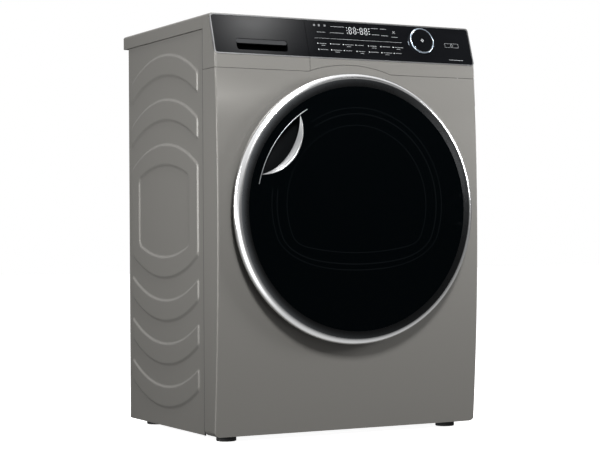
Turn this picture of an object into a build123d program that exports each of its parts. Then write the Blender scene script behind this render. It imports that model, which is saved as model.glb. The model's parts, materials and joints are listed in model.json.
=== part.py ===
from build123d import *
import os
from math import atan2, cos, pi, radians, sin, sqrt

# ---------------------------------------------------------------- driving sizes, millimetres
# Frame: +Z up, -Y is the front, origin on the floor under the middle of the whole box.
WIDTH = 600.0             # across the side panels
HEIGHT = 845.0            # floor to the top of the cover
CASE_DEPTH = 455.0        # foot of the front panel to the rear edge of the side panels
DOOR_PROUD = 54.0         # door glass ahead of the foot of the front panel
REAR_PROUD = 35.0         # rear duct cover behind the side panels
FOOT_CLEAR = 12.0         # floor to the underside of the case

SHEET = 1.0               # steel sheet
MOULD = 2.5               # wall of plastic mouldings
SEAM = 0.8                # visible joint between neighbouring panels
CLEAR = 0.3               # clearance between neighbouring pieces that may move
RUN = 0.05                # radial running clearance of a shaft in its hole

# front of the case
FRONT_RETURN = 48.0       # depth of the front panel's side returns
FRONT_BULGE = 15.3        # forward swell of the front panel at mid height
FRONT_LEAN = 10.5         # top of the front panel ahead of its foot
BAND_Z = 735.0            # seam between the front panel and the console
CONSOLE_Z = 764.0         # silver line under the fascia
FASCIA_RUN = 26.5         # how far the fascia leans back over its height
EDGE_R = 3.5              # rounding of the front panel's upright edges
FOOT_CORNER_R = 12.0      # rounding of its lower corners
FRONT_FLANGE = 15.0       # depth of its bottom flange
ARCH_R = 292.0            # arch of the console seam over the door, about the door's axis

# top cover
COVER_H = 28.0
COVER_OVERHANG = 21.0     # past the rear edge of the side panels
COVER_EDGE_R = 5.0

# embossed bands of the side panels
EMBOSS = 2.0
BAND_W = 48.0
BAND_HALF = 180.0
BAND_RISE = 49.0
BAND_MID_Y = 256.0        # middle of the bands behind the foot of the front panel
BAND_CORNER_R = 8.0
ARCH_TOPS = (786.0, 693.0)
RING_TOP, RING_FOOT = 600.0, 318.0
SAG_FEET = (228.0, 138.0, 49.0)

# door
DOOR_R = 274.0
DOOR_Z = 459.0
RING_BACK = 19.0          # rear edge of the silver ring behind the glass's crown
RING_CREST_R = 263.0
RING_CREST = 5.0          # crest of the ring behind the glass's crown
GLASS_R = 246.0
GLASS_EDGE = 3.0          # rim of the glass behind its crown
GLASS_T = 3.0
SHELL_R = 262.0           # rear shell of the door
SHELL_BACK = 31.0         # its rear face behind the glass's crown
WINDOW_R = 186.0
WINDOW_Z = 468.0
WINDOW_FOOT_Z = 345.0
WINDOW_FOOT_R = 560.0
WINDOW_CORNER_R = 45.0
BOWL_DEPTH = 40.0
BOWL_DRAFT = 12.0
HANDLE_R = 228.0          # reach of the crescent's tips from the door's axis
HANDLE_MID = 144.5        # direction of the handle, degrees from +X
HANDLE_SPAN = 18.5
CRESCENT_OUTER = 177.5
CRESCENT_INNER = 196.0
HANDLE_LINE_R = 229.5
HANDLE_LINE_W = 2.4
HANDLE_LINE_SPAN = 23.5
HANDLE_DEPTH = 18.0
HINGE_X = 262.0
HINGE_BEHIND = 18.0       # hinge pin behind the glass's crown
HINGE_HALF_H = 26.0
HINGE_SLOT_X = (217.0, 245.0)
HINGE_LEAN = 150.0        # direction of the case's hinge ears, degrees from +X towards +Y

# drum group
DRUM_R = 276.0
DRUM_Z = 478.0
DRUM_Y = 62.0             # front rim behind the foot of the front panel
DRUM_L = 345.0
DRUM_MOUTH_R = 226.0
OPENING_R = 203.0         # inside of the loading tunnel
OPENING_Z = 490.0
LIFTER_H = 48.0
SHAFT_R = 12.0
ROLLER_R = 20.0
ROLLER_W = 14.0
ROLLER_X = 170.0
AXLE_R = 6.0
BELT_W = 14.0
BELT_T = 3.0
BELT_Y = 299.0
MOTOR_X, MOTOR_Z = 170.0, 120.0
PULLEY_R = 9.0
IDLER_X, IDLER_Z = 30.0, 166.0
IDLER_R = 15.0

# water drawer and console controls
SPLIT_X = -92.0           # joint between the drawer front and the fascia
TRIM_W = 2.4
TRIM_PROUD = 0.6
FASCIA_T = 4.0
FASCIA_CORNER_R = 8.0
GRIP = (-250.0, -138.0)   # drawer's finger pocket, across
GRIP_S = (9.0, 33.5)      # and up the fascia
GRIP_DEPTH = 22.0
TANK = (-286.0, -102.0)
TANK_Z = (751.0, 808.0)
TANK_L = 380.0
KNOB_X, KNOB_S = 178.0, 48.5
KNOB_R = 28.5
KNOB_H = 6.0
START_R = 24.0
KNOB_NIB = (-20.0, -17.0)
POWER_X, POWER_S = 252.0, 43.0
POWER_W, POWER_H = 36.0, 11.5

# lint filter
FILTER_HALF = 96.0
FILTER_Y = (24.0, 44.0)
FILTER_FOOT_Z = 125.0
FOOT_R = 20.0

# heat pump, duct and connections
TRAY_FLOOR_Z = FOOT_CLEAR + 9.0
COMPRESSOR_X, COMPRESSOR_Y = -205.0, 330.0
COMPRESSOR_R, COMPRESSOR_H = 58.0, 150.0
EXCHANGER_X = (-122.0, 102.0)
EXCHANGER_H = 155.0
FIN_PITCH = 11.0
FIN_T = 1.5
TUBE_R = 5.0
TUBE_ROWS = 4
DUCT_R = 232.0
DUCT_FOOT = (100.0, 240.0)      # middle of the duct cover's foot in X and Z
DUCT_FOOT_SIZE = (140.0, 200.0)
VENTS_X = (-250, -120, 14)      # first, last and spacing of the vent slots
CONNECTIONS_X = -230.0
GLAND_Z, SPIGOT_Z = 740.0, 640.0

# ---------------------------------------------------------------- places worked out
Y_FRONT = DOOR_PROUD - (DOOR_PROUD + CASE_DEPTH + REAR_PROUD) / 2
Y_CROWN = Y_FRONT - DOOR_PROUD
Y_JOINT = Y_FRONT + FRONT_RETURN
Y_SIDE_REAR = Y_FRONT + CASE_DEPTH
Y_REAR = Y_SIDE_REAR + REAR_PROUD
HALF = WIDTH / 2
COVER_Z = HEIGHT - COVER_H
REAR_SHEET_Y = Y_SIDE_REAR - 3.5
FASCIA_LEN = sqrt(FASCIA_RUN ** 2 + (HEIGHT - CONSOLE_Z) ** 2)
FASCIA_TILT = atan2(FASCIA_RUN, HEIGHT - CONSOLE_Z)
FASCIA = Plane(origin=(0, Y_FRONT - FRONT_LEAN, CONSOLE_Z), x_dir=(1, 0, 0),
               z_dir=(0, -cos(FASCIA_TILT), sin(FASCIA_TILT)))
DRUM_BACK_Y = Y_FRONT + DRUM_Y + DRUM_L
BULKHEAD_Y = Y_FRONT + 46.0
BULKHEAD_HALF = HALF - 4.0


# ---------------------------------------------------------------- helpers
def block(x, y, z):
    """Box between three (low, high) pairs."""
    size = [high - low for low, high in (x, y, z)]
    middle = [(low + high) / 2 for low, high in (x, y, z)]
    return Pos(*middle) * Box(*size)


def rod_y(radius, y, x=0.0, z=0.0):
    """Round bar along Y."""
    return Pos(x, (y[0] + y[1]) / 2, z) * Rot(90, 0, 0) * Cylinder(radius, y[1] - y[0])


def rod_z(radius, z, x=0.0, y=0.0):
    """Round bar along Z."""
    return Pos(x, y, (z[0] + z[1]) / 2) * Cylinder(radius, z[1] - z[0])


def tube_y(outer, inner, y, x=0.0, z=0.0):
    """Round tube along Y."""
    return rod_y(outer, y, x, z) - rod_y(inner, (y[0] - 1, y[1] + 1), x, z)


def slab_y(face, y):
    """Face drawn in X and Z, made solid between two Y values."""
    return extrude(Plane.XZ.offset(-y[1]) * face, amount=y[1] - y[0])


def slab_x(face, x):
    """Face drawn in Y and Z, made solid between two X values."""
    return extrude(Plane.YZ.offset(x[0]) * face, amount=x[1] - x[0])


def on_fascia(face, low, high):
    """Face drawn on the fascia plane, made solid from low to high along its normal."""
    return extrude(FASCIA.offset(low) * face, amount=high - low)


def outline(*points):
    return make_face(Polyline(*points, close=True))


def turned(points, z):
    """Profile of (radius, y) points turned about the Y direction at height z."""
    return revolve(Plane.XY.offset(z) * outline(*points), axis=Axis((0, 0, z), (0, 1, 0)))


def front_y(z):
    """Y of the swelled front face at height z."""
    t = (z - FOOT_CLEAR) / (CONSOLE_Z - FOOT_CLEAR)
    return Y_FRONT - 4 * FRONT_BULGE * t * (1 - t) - FRONT_LEAN * t


def front_arc(inset, z_low, z_high):
    """Side view of the front face, moved back by inset, between two heights."""
    heights = (z_low, (z_low + z_high) / 2, z_high)
    return ThreePointArc(*[(front_y(z) + inset, z) for z in heights])


def front_slab(inset, z_low, z_high, y_rear, x):
    """Solid behind the front face, between two heights, back to y_rear."""
    arc = front_arc(inset, z_low, z_high)
    back = Polyline(arc @ 1, (y_rear, z_high), (y_rear, z_low), arc @ 0)
    return slab_x(make_face(arc + back), x)


# ---------------------------------------------------------------- case
def band_outline(top, rise, height, half):
    """Arched band in Y and Z: its middle starts at top, and its ends lie rise lower."""
    mid = Y_FRONT + BAND_MID_Y
    left, right = mid - half, mid + half
    upper = ThreePointArc((left, top - rise), (mid, top), (right, top - rise))
    lower = ThreePointArc((right, top - rise - height), (mid, top - height), (left, top - rise - height))
    ends = [Line(upper @ 1, lower @ 0), Line(lower @ 1, upper @ 0)]
    face = make_face([upper, ends[0], lower, ends[1]])
    return fillet(face.vertices(), BAND_CORNER_R)


def stadium_outline(top, foot, rise, half):
    """Upright panel outline with an arched head and an arched foot."""
    mid = Y_FRONT + BAND_MID_Y
    left, right = mid - half, mid + half
    head = ThreePointArc((left, top - rise), (mid, top), (right, top - rise))
    base = ThreePointArc((right, foot + rise), (mid, foot), (left, foot + rise))
    face = make_face([head, Line(head @ 1, base @ 0), base, Line(base @ 1, head @ 0)])
    return fillet(face.vertices(), BAND_CORNER_R)


def band_faces():
    """All embossed bands of one side panel."""
    faces = [band_outline(top, BAND_RISE, BAND_W, BAND_HALF) for top in ARCH_TOPS]
    faces += [band_outline(foot + BAND_W, -BAND_RISE, BAND_W, BAND_HALF) for foot in SAG_FEET]
    outer = stadium_outline(RING_TOP, RING_FOOT, BAND_RISE, BAND_HALF)
    inner = stadium_outline(RING_TOP - BAND_W, RING_FOOT + BAND_W, BAND_RISE / 2, BAND_HALF - BAND_W)
    return faces + [outer - inner]


def side_panel(side):
    """Steel side with pressed-out bands; side is -1 for left, 1 for right."""
    y = (Y_JOINT + SEAM, Y_SIDE_REAR)
    outer = side * HALF
    skin = outer - side * EMBOSS
    sheet = block(sorted((skin, skin - side * SHEET)), y, (FOOT_CLEAR, COVER_Z - SEAM))
    bands = [slab_x(face, sorted((skin - side * SHEET, outer))) for face in band_faces()]
    hollows = [slab_x(face, sorted((skin - side * 2 * SHEET, outer - side * SHEET))) for face in
               [offset(face, -SHEET) for face in band_faces()]]
    return sheet + bands - hollows


def rear_panel():
    """Rear sheet with the hole behind the drum bearing, duct slots and vent slots."""
    x = HALF - EMBOSS - SHEET - CLEAR
    sheet = block((-x, x), (REAR_SHEET_Y, REAR_SHEET_Y + SHEET), (FOOT_CLEAR + 2, COVER_Z - SEAM))
    sheet -= rod_y(18, (REAR_SHEET_Y - 1, REAR_SHEET_Y + 3), 0, DRUM_Z)
    for x_vent in range(*VENTS_X):
        sheet -= block((x_vent, x_vent + 6), (REAR_SHEET_Y - 1, REAR_SHEET_Y + 3), (90, 170))
    sheet -= block((60, 150), (REAR_SHEET_Y - 1, REAR_SHEET_Y + 3), (255, 300))
    return sheet


def rear_cover_face(grow):
    """Round duct cover with a foot that leads down to the fan."""
    disc = Pos(0, DRUM_Z) * Circle(DUCT_R + grow)
    width, height = DUCT_FOOT_SIZE
    foot = Pos(*DUCT_FOOT) * RectangleRounded(width + 2 * grow, height + 2 * grow, 30 + grow)
    return disc + foot


def rear_duct_cover():
    """Pressed cover of the warm-air duct, hollow towards the rear panel."""
    y = (REAR_SHEET_Y + SHEET, Y_REAR)
    taper = 8.0
    shell = slab_y(rear_cover_face(0), (y[0], y[1] - taper)) + slab_y(rear_cover_face(-taper), y)
    shell -= slab_y(rear_cover_face(-SHEET - 1), (y[0] - 1, y[1] - taper - SHEET - 1))
    shell -= slab_y(rear_cover_face(-taper - SHEET - 1), (y[0] - 1, y[1] - SHEET - 1))
    flange = slab_y(rear_cover_face(12) - rear_cover_face(-2), (y[0], y[0] + SHEET))
    return shell + flange


def top_cover():
    """Work top with a skirt all round, open underneath."""
    y = (Y_JOINT + CLEAR, Y_SIDE_REAR + COVER_OVERHANG)
    cover = block((-HALF, HALF), y, (COVER_Z, HEIGHT))
    long_edges = cover.edges().filter_by(Axis.Y).group_by(Axis.Z)[-1]
    rear_edge = cover.faces().sort_by(Axis.Y)[-1].edges().sort_by(Axis.Z)[-1]
    cover = fillet(list(long_edges) + [rear_edge], COVER_EDGE_R)
    wall = 2 * SHEET
    inner_y = (y[0] + wall, y[1] - wall)
    return cover - block((-HALF + wall, HALF - wall), inner_y, (COVER_Z - 1, HEIGHT - wall))


def base_tray():
    """Moulded base with raised walls; it carries the motor and the heat pump."""
    x = HALF - EMBOSS - SHEET - 1.0
    y = (Y_FRONT + 6, REAR_SHEET_Y - 1)
    tray = block((-x, x), y, (FOOT_CLEAR + 4, 62))
    tray = fillet(tray.edges().filter_by(Axis.Y).group_by(Axis.Z)[0], 8)
    tray -= block((-x + MOULD, x - MOULD), (y[0] + MOULD, y[1] - MOULD), (TRAY_FLOOR_Z, 63))
    for fx in (-1, 1):
        for fy in foot_ys():
            tray += rod_z(24, (FOOT_CLEAR + 4, 46), fx * foot_x(), fy)
            tray -= rod_z(5 + CLEAR, (FOOT_CLEAR, 40), fx * foot_x(), fy)
    return tray


def foot_x():
    return HALF - 45.0


def foot_ys():
    return (Y_FRONT + 45.0, Y_SIDE_REAR - 45.0)


def levelling_foot(side, y):
    """Rubber-soled foot with its threaded stud, screwed fully in."""
    x = side * foot_x()
    sole = rod_z(FOOT_R, (0, FOOT_CLEAR - 4), x, y)
    sole = fillet(sole.edges(), 1.5)
    nut = extrude(Pos(x, y, FOOT_CLEAR - 4) * RegularPolygon(11, 6), amount=FOOT_CLEAR - 5)
    return sole + nut + rod_z(5, (4, 36), x, y)


def front_view(inset):
    """Front view of the case below the console, with rounded lower corners, inset all round."""
    x, z, radius = HALF - inset, FOOT_CLEAR + inset, FOOT_CORNER_R - inset
    sides = outline((-x, z), (x, z), (x, HEIGHT), (-x, HEIGHT))
    return fillet(sides.vertices().sort_by(Axis.Y)[:2], radius)


def front_solid(inset, y_rear):
    """Solid behind the front face with rounded uprights and lower corners, inset all round."""
    x = HALF - inset
    solid = front_slab(inset, 0, CONSOLE_Z + 5 * inset, y_rear, (-x, x))
    uprights = [edge for edge in solid.edges() if abs(abs(edge.center().X) - x) < 0.1
                and edge.center().Y < Y_FRONT + inset and edge.length > DOOR_R]
    solid = fillet(uprights, EDGE_R - inset)
    return solid & slab_y(front_view(inset), (Y_FRONT - 60, y_rear + 5))


def front_panel():
    """Swelled steel front with side returns, the loading hole, hinge slot and latch slot."""
    body = front_solid(0, Y_JOINT) - front_solid(SHEET, Y_JOINT + 2)
    flange_x = (-HALF + FOOT_CORNER_R + SHEET, HALF - FOOT_CORNER_R - SHEET)
    body -= block(flange_x, (Y_FRONT + FRONT_FLANGE, Y_JOINT + 1), (FOOT_CLEAR - 1, FOOT_CLEAR + 2 * SHEET))
    cap = block((-HALF - 1, HALF + 1), (Y_FRONT - 60, Y_JOINT + 5), (BAND_Z, HEIGHT))
    body -= cap - rod_y(ARCH_R, (Y_FRONT - 80, Y_JOINT + 9), 0, DOOR_Z)
    body -= rod_y(OPENING_R + 22, (Y_FRONT - 60, Y_FRONT + 20), 0, OPENING_Z)
    body -= block(HINGE_SLOT_X, (Y_FRONT - 40, Y_FRONT - 5), hinge_span(2))
    return body - block(latch_x(1.5), (Y_FRONT - 40, Y_FRONT - 5), latch_z(2))


def hinge_span(extra):
    return (DOOR_Z - HINGE_HALF_H - extra, DOOR_Z + HINGE_HALF_H + extra)


def latch_x(extra):
    return (-OPENING_R - 38 - extra, -OPENING_R - 28 + extra)


def latch_z(extra):
    return (DOOR_Z - 12 - extra, DOOR_Z + 12 + extra)


def front_bulkhead():
    """Inner front wall that carries the tunnel, the felt lip and the roller axles."""
    z = (200.0, BAND_Z - 8)
    wall = block((-BULKHEAD_HALF, BULKHEAD_HALF), (BULKHEAD_Y, BULKHEAD_Y + 2 * SHEET), z)
    wall -= rod_y(OPENING_R + MOULD + CLEAR, (BULKHEAD_Y - 1, BULKHEAD_Y + 9), 0, OPENING_Z)
    lip_y = (BULKHEAD_Y + SHEET, Y_FRONT + DRUM_Y - CLEAR)
    wall += tube_y(DRUM_MOUTH_R + 14, DRUM_MOUTH_R + 4, lip_y, 0, DRUM_Z)
    for side in (-1, 1):
        wall += rod_y(16, (BULKHEAD_Y, BULKHEAD_Y + 6), side * ROLLER_X, roller_z())
        wall -= rod_y(AXLE_R, (BULKHEAD_Y - 1, BULKHEAD_Y + 9), side * ROLLER_X, roller_z())
    return wall


def roller_z():
    reach = DRUM_R + ROLLER_R + CLEAR
    return DRUM_Z - sqrt(reach ** 2 - ROLLER_X ** 2)


def tunnel_collar():
    """Loading tunnel from the front panel to the drum, with a slot for the lint filter."""
    front = Y_FRONT - 9.0
    points = [(OPENING_R, front), (OPENING_R + 20, front), (OPENING_R + 20, front + MOULD),
              (OPENING_R + MOULD, front + MOULD), (OPENING_R + MOULD, Y_FRONT + DRUM_Y - 4),
              (OPENING_R, Y_FRONT + DRUM_Y - 4)]
    collar = turned(points, OPENING_Z)
    slot_y = (Y_FRONT + FILTER_Y[0] - 1, Y_FRONT + FILTER_Y[1] + 1)
    return collar - block((-FILTER_HALF - 1, FILTER_HALF + 1), slot_y, (250, 340))


# ---------------------------------------------------------------- console
def console_profile(inset, rear):
    """Side view of the console from its grey band to the top edge."""
    z_low = BAND_Z + SEAM if inset == 0 else BAND_Z - 5
    arc = front_arc(inset, z_low, CONSOLE_Z)
    slope = Vector(0, sin(FASCIA_TILT), cos(FASCIA_TILT)) * FASCIA_LEN
    top = HEIGHT - inset
    lip = Y_FRONT - FRONT_LEAN + slope.Y + inset
    return make_face([arc, Line(arc @ 1, (lip, top)), Line((lip, top), (rear, top)),
                      Line((rear, top), (rear, z_low)), Line((rear, z_low), arc @ 0)])


def fascia_face(inset):
    """Rounded outline of the fascia opening on the fascia plane."""
    height = FASCIA_LEN - 1.0 + TRIM_W / 2 - 2 * inset
    middle = (FASCIA_LEN - 1.0 - TRIM_W / 2) / 2
    radius = FASCIA_CORNER_R - inset
    return Pos(0, middle) * RectangleRounded(WIDTH - 2 * inset, height, radius)


def left_of_split(extra=0.0):
    return block((-HALF - 5, SPLIT_X + extra), (Y_FRONT - 60, Y_SIDE_REAR), (BAND_Z - 30, HEIGHT + 5))


def console_block():
    """Solid outside shape of the console with its rounded ends."""
    solid = slab_x(console_profile(0, Y_JOINT), (-HALF, HALF))
    ends = [edge for edge in solid.edges() if abs(abs(edge.center().X) - HALF) < 0.1]
    top = [edge for edge in ends if abs(edge.center().Z - HEIGHT) < 0.1]
    solid = fillet(top, COVER_EDGE_R)
    ends = [edge for edge in solid.edges() if abs(abs(edge.center().X) - HALF) < 0.1]
    low = [edge for edge in ends if edge.center().Z < CONSOLE_Z and edge.center().Y < Y_FRONT]
    return fillet(low, EDGE_R)


def band_skin(thickness, x):
    """Front skin of the grey band between the seam and the silver line."""
    inner = slab_x(console_profile(thickness, Y_JOINT + 5), (x[0] - 1, x[1] + 1))
    skin = (console_block() - inner) & block(x, (Y_FRONT - 40, Y_FRONT), (BAND_Z, CONSOLE_Z + 12))
    return skin - rod_y(ARCH_R + SEAM, (Y_FRONT - 60, Y_FRONT), 0, DOOR_Z)


def console_housing():
    """Grey moulding with the end cheeks, top strip and the band under the fascia."""
    shell = console_block()
    shell -= slab_x(console_profile(MOULD, Y_JOINT + 5), (-HALF + MOULD, HALF - MOULD))
    shell -= on_fascia(fascia_face(0), -FASCIA_T, 20)
    shell -= rod_y(ARCH_R + SEAM, (Y_FRONT - 60, Y_JOINT + 5), 0, DOOR_Z)
    shell -= band_skin(MOULD + CLEAR, (-HALF, SPLIT_X + SEAM))
    drawer_way = block((TANK[0] - 2, SPLIT_X), (Y_FRONT - 40, Y_JOINT - 2), (BAND_Z, TANK_Z[1] + 4))
    return shell - drawer_way


def fascia_plate(x, inset):
    plate = on_fascia(fascia_face(inset), -FASCIA_T, 0)
    return plate & block(x, (Y_FRONT - 60, Y_FRONT + 60), (CONSOLE_Z - 20, HEIGHT))


def console_fascia():
    """Black control panel with the knob's and the power button's holes."""
    plate = fascia_plate((SPLIT_X + SEAM, HALF), TRIM_W)
    plate -= on_fascia(Pos(KNOB_X, KNOB_S) * Circle(KNOB_R - 6), -FASCIA_T - 1, 1)
    hole = RectangleRounded(POWER_W + 2 * CLEAR, POWER_H + 2 * CLEAR, 2)
    return plate - on_fascia(Pos(POWER_X, POWER_S) * hole, -FASCIA_T - 1, 1)


def trim_ring(x):
    ring = on_fascia(fascia_face(0), -FASCIA_T, TRIM_PROUD) - on_fascia(fascia_face(TRIM_W), -9, 9)
    return ring & block(x, (Y_FRONT - 60, Y_FRONT + 60), (CONSOLE_Z - 20, HEIGHT))


def control_board():
    """Circuit board behind the fascia with its display block."""
    board = on_fascia(Pos(40, 42) * Rectangle(240, 60), -12, -10.4)
    display = on_fascia(Pos(23, 62) * Rectangle(64, 24), -10.4, -FASCIA_T - CLEAR)
    return board + display


def program_knob():
    """Turning ring of the programme knob with its skirt through the fascia."""
    ring = on_fascia(Circle(KNOB_R), 1.0, KNOB_H)
    ring = fillet(ring.edges().group_by(lambda e: round(FASCIA.to_local_coords(e.center()).Z, 2))[-1], 1.5)
    skirt = on_fascia(Circle(KNOB_R - 6 - CLEAR), -9, 1.0)
    bore = on_fascia(Circle(START_R), KNOB_H - 3, KNOB_H + 1)
    stem = on_fascia(Circle(4 + RUN), -10, KNOB_H)
    knob = ring + skirt - bore - stem
    nib = on_fascia(Pos(*KNOB_NIB) * Circle(1.6), KNOB_H - 3, KNOB_H + 0.2)
    return moved_on_fascia(knob + nib, KNOB_X, KNOB_S)


def moved_on_fascia(solid, x, s):
    up = FASCIA.y_dir * s
    return Pos(x, up.Y, up.Z) * solid


def start_button():
    """Round cap in the knob, on a stem, pressed along the knob's axis."""
    cap = on_fascia(Circle(START_R - CLEAR), KNOB_H - 1.6, KNOB_H - 0.2)
    stem = on_fascia(Circle(4), -9.0, KNOB_H - 1.6)
    return moved_on_fascia(cap + stem, KNOB_X, KNOB_S)


def power_button():
    """Flat key with a stem behind the fascia."""
    key = on_fascia(Pos(POWER_X, POWER_S) * RectangleRounded(POWER_W, POWER_H, 1.7), -FASCIA_T, 0.4)
    return key + on_fascia(Pos(POWER_X, POWER_S) * Circle(3), -9, -FASCIA_T)


# ---------------------------------------------------------------- water drawer
def grip_face(inset):
    middle = ((GRIP[0] + GRIP[1]) / 2, (GRIP_S[0] + GRIP_S[1]) / 2)
    size = (GRIP[1] - GRIP[0] - 2 * inset, GRIP_S[1] - GRIP_S[0] - 2 * inset)
    return Pos(*middle) * RectangleRounded(*size, 6 - inset)


def drawer_front():
    """Black end of the fascia with a moulded finger pocket behind it."""
    plate = fascia_plate((-HALF, SPLIT_X), TRIM_W)
    cup = on_fascia(grip_face(-2), -GRIP_DEPTH - 2, -FASCIA_T)
    return plate + cup - on_fascia(grip_face(0), -GRIP_DEPTH, 5)


def drawer_grip():
    """Grip bar across the head of the finger pocket."""
    width = GRIP[1] - GRIP[0]
    bar = Pos((GRIP[0] + GRIP[1]) / 2, GRIP_S[1] - 5.0) * RectangleRounded(width - 1, 9.0, 4)
    return on_fascia(bar, -FASCIA_T - 2, -1.2)


def drawer_band():
    """Grey strip of the drawer under the silver line."""
    return band_skin(MOULD, (-HALF, SPLIT_X)) - on_fascia(fascia_face(0), -30, 20)


def water_tank():
    """Condensate tank with a filling opening in its roof."""
    y = tank_y()
    tank = block(TANK, y, TANK_Z)
    tank = fillet(tank.edges().filter_by(Axis.Z), 8)
    inside = block((TANK[0] + 2, TANK[1] - 2), (y[0] + 2, y[1] - 2), (TANK_Z[0] + 2, TANK_Z[1] - 2))
    inside = fillet(inside.edges().filter_by(Axis.Z), 6)
    x_mid = (TANK[0] + TANK[1]) / 2
    filler = block((x_mid - 45, x_mid + 45), (y[1] - 90, y[1] - 30), (TANK_Z[1] - 5, TANK_Z[1] + 5))
    arms = [block(x, (Y_FRONT - 20, y[0]), (TANK_Z[0] + 20, TANK_Z[1] - 8)) for x in
            ((TANK[0], GRIP[0] - 4), (GRIP[1] + 4, TANK[1]))]
    behind = on_fascia(Rectangle(3 * WIDTH, WIDTH), -FASCIA_T, 60)
    return tank - inside - filler + (arms[0] - behind) + (arms[1] - behind)


def tank_y():
    start = Y_FRONT + 26.0
    return (start, start + TANK_L)


def tank_housing():
    """Fixed tray that the tank slides in."""
    y = (Y_JOINT + 4, tank_y()[1] + 8)
    x = (TANK[0] - 4, TANK[1] + 4)
    tray = block(x, y, (TANK_Z[0] - 4, TANK_Z[0] + 26))
    return tray - block((TANK[0] - 2, TANK[1] + 2), (y[0] - 1, y[1] - 2), (TANK_Z[0] - 2, TANK_Z[0] + 30))


# ---------------------------------------------------------------- door
def crown(behind):
    return Y_CROWN + behind


def door_ring():
    """Silver bezel: a bright rounded rim and a dark bevel that leads to the glass."""
    ring = DOOR_R
    outer = [(ring, crown(RING_BACK)), (ring, crown(RING_BACK - 4)), (ring - 2, crown(11)),
             (ring - 5, crown(7)), (RING_CREST_R + 2, crown(RING_CREST + 0.4)),
             (RING_CREST_R, crown(RING_CREST)), (GLASS_R + CLEAR, crown(GLASS_EDGE))]
    seat = crown(GLASS_EDGE + GLASS_T)
    inner = [(GLASS_R + CLEAR, seat), (GLASS_R - 6, seat), (GLASS_R - 6, seat + 2), (GLASS_R + 3, seat + 2),
             (RING_CREST_R, crown(RING_CREST + 3)), (ring - 6, crown(11)),
             (ring - 2.5, crown(RING_BACK - 4)), (ring - 2.5, crown(RING_BACK))]
    notch = block((HINGE_X, DOOR_R + 5), (crown(11), crown(RING_BACK + 2)), hinge_span(3))
    return turned(outer + inner, DOOR_Z) - notch


def door_dome(behind, radius, thickness):
    """Part of a large ball, cut to a disc: the domed glass."""
    rise = GLASS_EDGE
    ball_r = (GLASS_R ** 2 + rise ** 2) / (2 * rise)
    ball_y = crown(behind) + ball_r
    arc = ThreePointArc((0, crown(behind)), (radius / 2, ball_y - sqrt(ball_r ** 2 - (radius / 2) ** 2)),
                        (radius, ball_y - sqrt(ball_r ** 2 - radius ** 2)))
    end = arc @ 1
    face = make_face([arc, Line(end, (end.X, end.Y + thickness)), Line((end.X, end.Y + thickness),
                     (0, end.Y + thickness)), Line((0, end.Y + thickness), arc @ 0)])
    return revolve(Plane.XY.offset(DOOR_Z) * face, axis=Axis((0, 0, DOOR_Z), (0, 1, 0)))


def polar(radius, angle):
    return (radius * cos(radians(angle)), DOOR_Z + radius * sin(radians(angle)))


def handle_tips():
    return [polar(HANDLE_R, HANDLE_MID + side * HANDLE_SPAN) for side in (-1, 1)]


def lens_face(deep):
    """Lens between the outer circle of the handle and an arc that dips to radius deep."""
    low, high = handle_tips()
    dip = ThreePointArc(high, polar(deep, HANDLE_MID), low)
    rim = ThreePointArc(low, polar(HANDLE_R, HANDLE_MID), high)
    return make_face([dip, rim])


def door_glass():
    """Smoked outer glass with the opening of the handle pocket."""
    hole = slab_y(lens_face(CRESCENT_OUTER), (crown(-5), crown(20)))
    return door_dome(0, GLASS_R, GLASS_T) - hole - door_handle_trim()


def door_handle_cup():
    """Black finger cup behind the glass."""
    y = (crown(GLASS_EDGE + GLASS_T + CLEAR), crown(GLASS_EDGE + GLASS_T + HANDLE_DEPTH))
    grown = offset(lens_face(CRESCENT_OUTER), 6)
    cup = slab_y(grown, y)
    return cup - slab_y(lens_face(CRESCENT_OUTER), (y[0] - 1, y[1] - 2))


def door_handle_crescent():
    """Silver crescent that slopes down into the finger cup."""
    face = lens_face(CRESCENT_OUTER + 0.4) - lens_face(CRESCENT_INNER)
    y = (crown(2.0), crown(12.0))
    solid = slab_y(face, y)
    cutter_low = crown(0.6)
    mid = radians(HANDLE_MID)
    inward = (CRESCENT_INNER - CRESCENT_OUTER + 2)
    wedge = outline((CRESCENT_OUTER - 2, cutter_low - 8), (CRESCENT_OUTER + inward + 40, cutter_low - 8),
                    (CRESCENT_OUTER + inward + 40, cutter_low + 14), (CRESCENT_OUTER - 2, cutter_low))
    frame = Plane(origin=(0, 0, DOOR_Z), x_dir=(cos(mid), 0, sin(mid)), z_dir=(sin(mid), 0, -cos(mid)))
    cut = extrude(frame * outline_in(frame, wedge), amount=150, both=True)
    return solid - cut


def outline_in(frame, face):
    """Face drawn as (radius, y) put into a plane whose second axis may run along -Y."""
    return face if frame.y_dir.Y > 0 else mirror(face, Plane.XZ)


def door_handle_trim():
    """Thin silver line along the outer edge of the finger cup."""
    angles = (HANDLE_MID - HANDLE_LINE_SPAN, HANDLE_MID, HANDLE_MID + HANDLE_LINE_SPAN)
    half = HANDLE_LINE_W / 2
    base = HANDLE_LINE_R + half
    outer = ThreePointArc(*[polar(base + half, a) for a in angles])
    inner = ThreePointArc(*[polar(base - half, a) for a in reversed(angles)])
    caps = [Line(outer @ 1, inner @ 0), Line(inner @ 1, outer @ 0)]
    face = make_face([outer, caps[0], inner, caps[1]])
    return slab_y(face, (crown(-0.2 + glass_drop(base + 3)), crown(3.0 + glass_drop(base))))


def glass_drop(radius):
    """How far the glass lies behind its crown at a radius from the door's axis."""
    ball_r = (GLASS_R ** 2 + GLASS_EDGE ** 2) / (2 * GLASS_EDGE)
    return ball_r - sqrt(ball_r ** 2 - radius ** 2)


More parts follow.
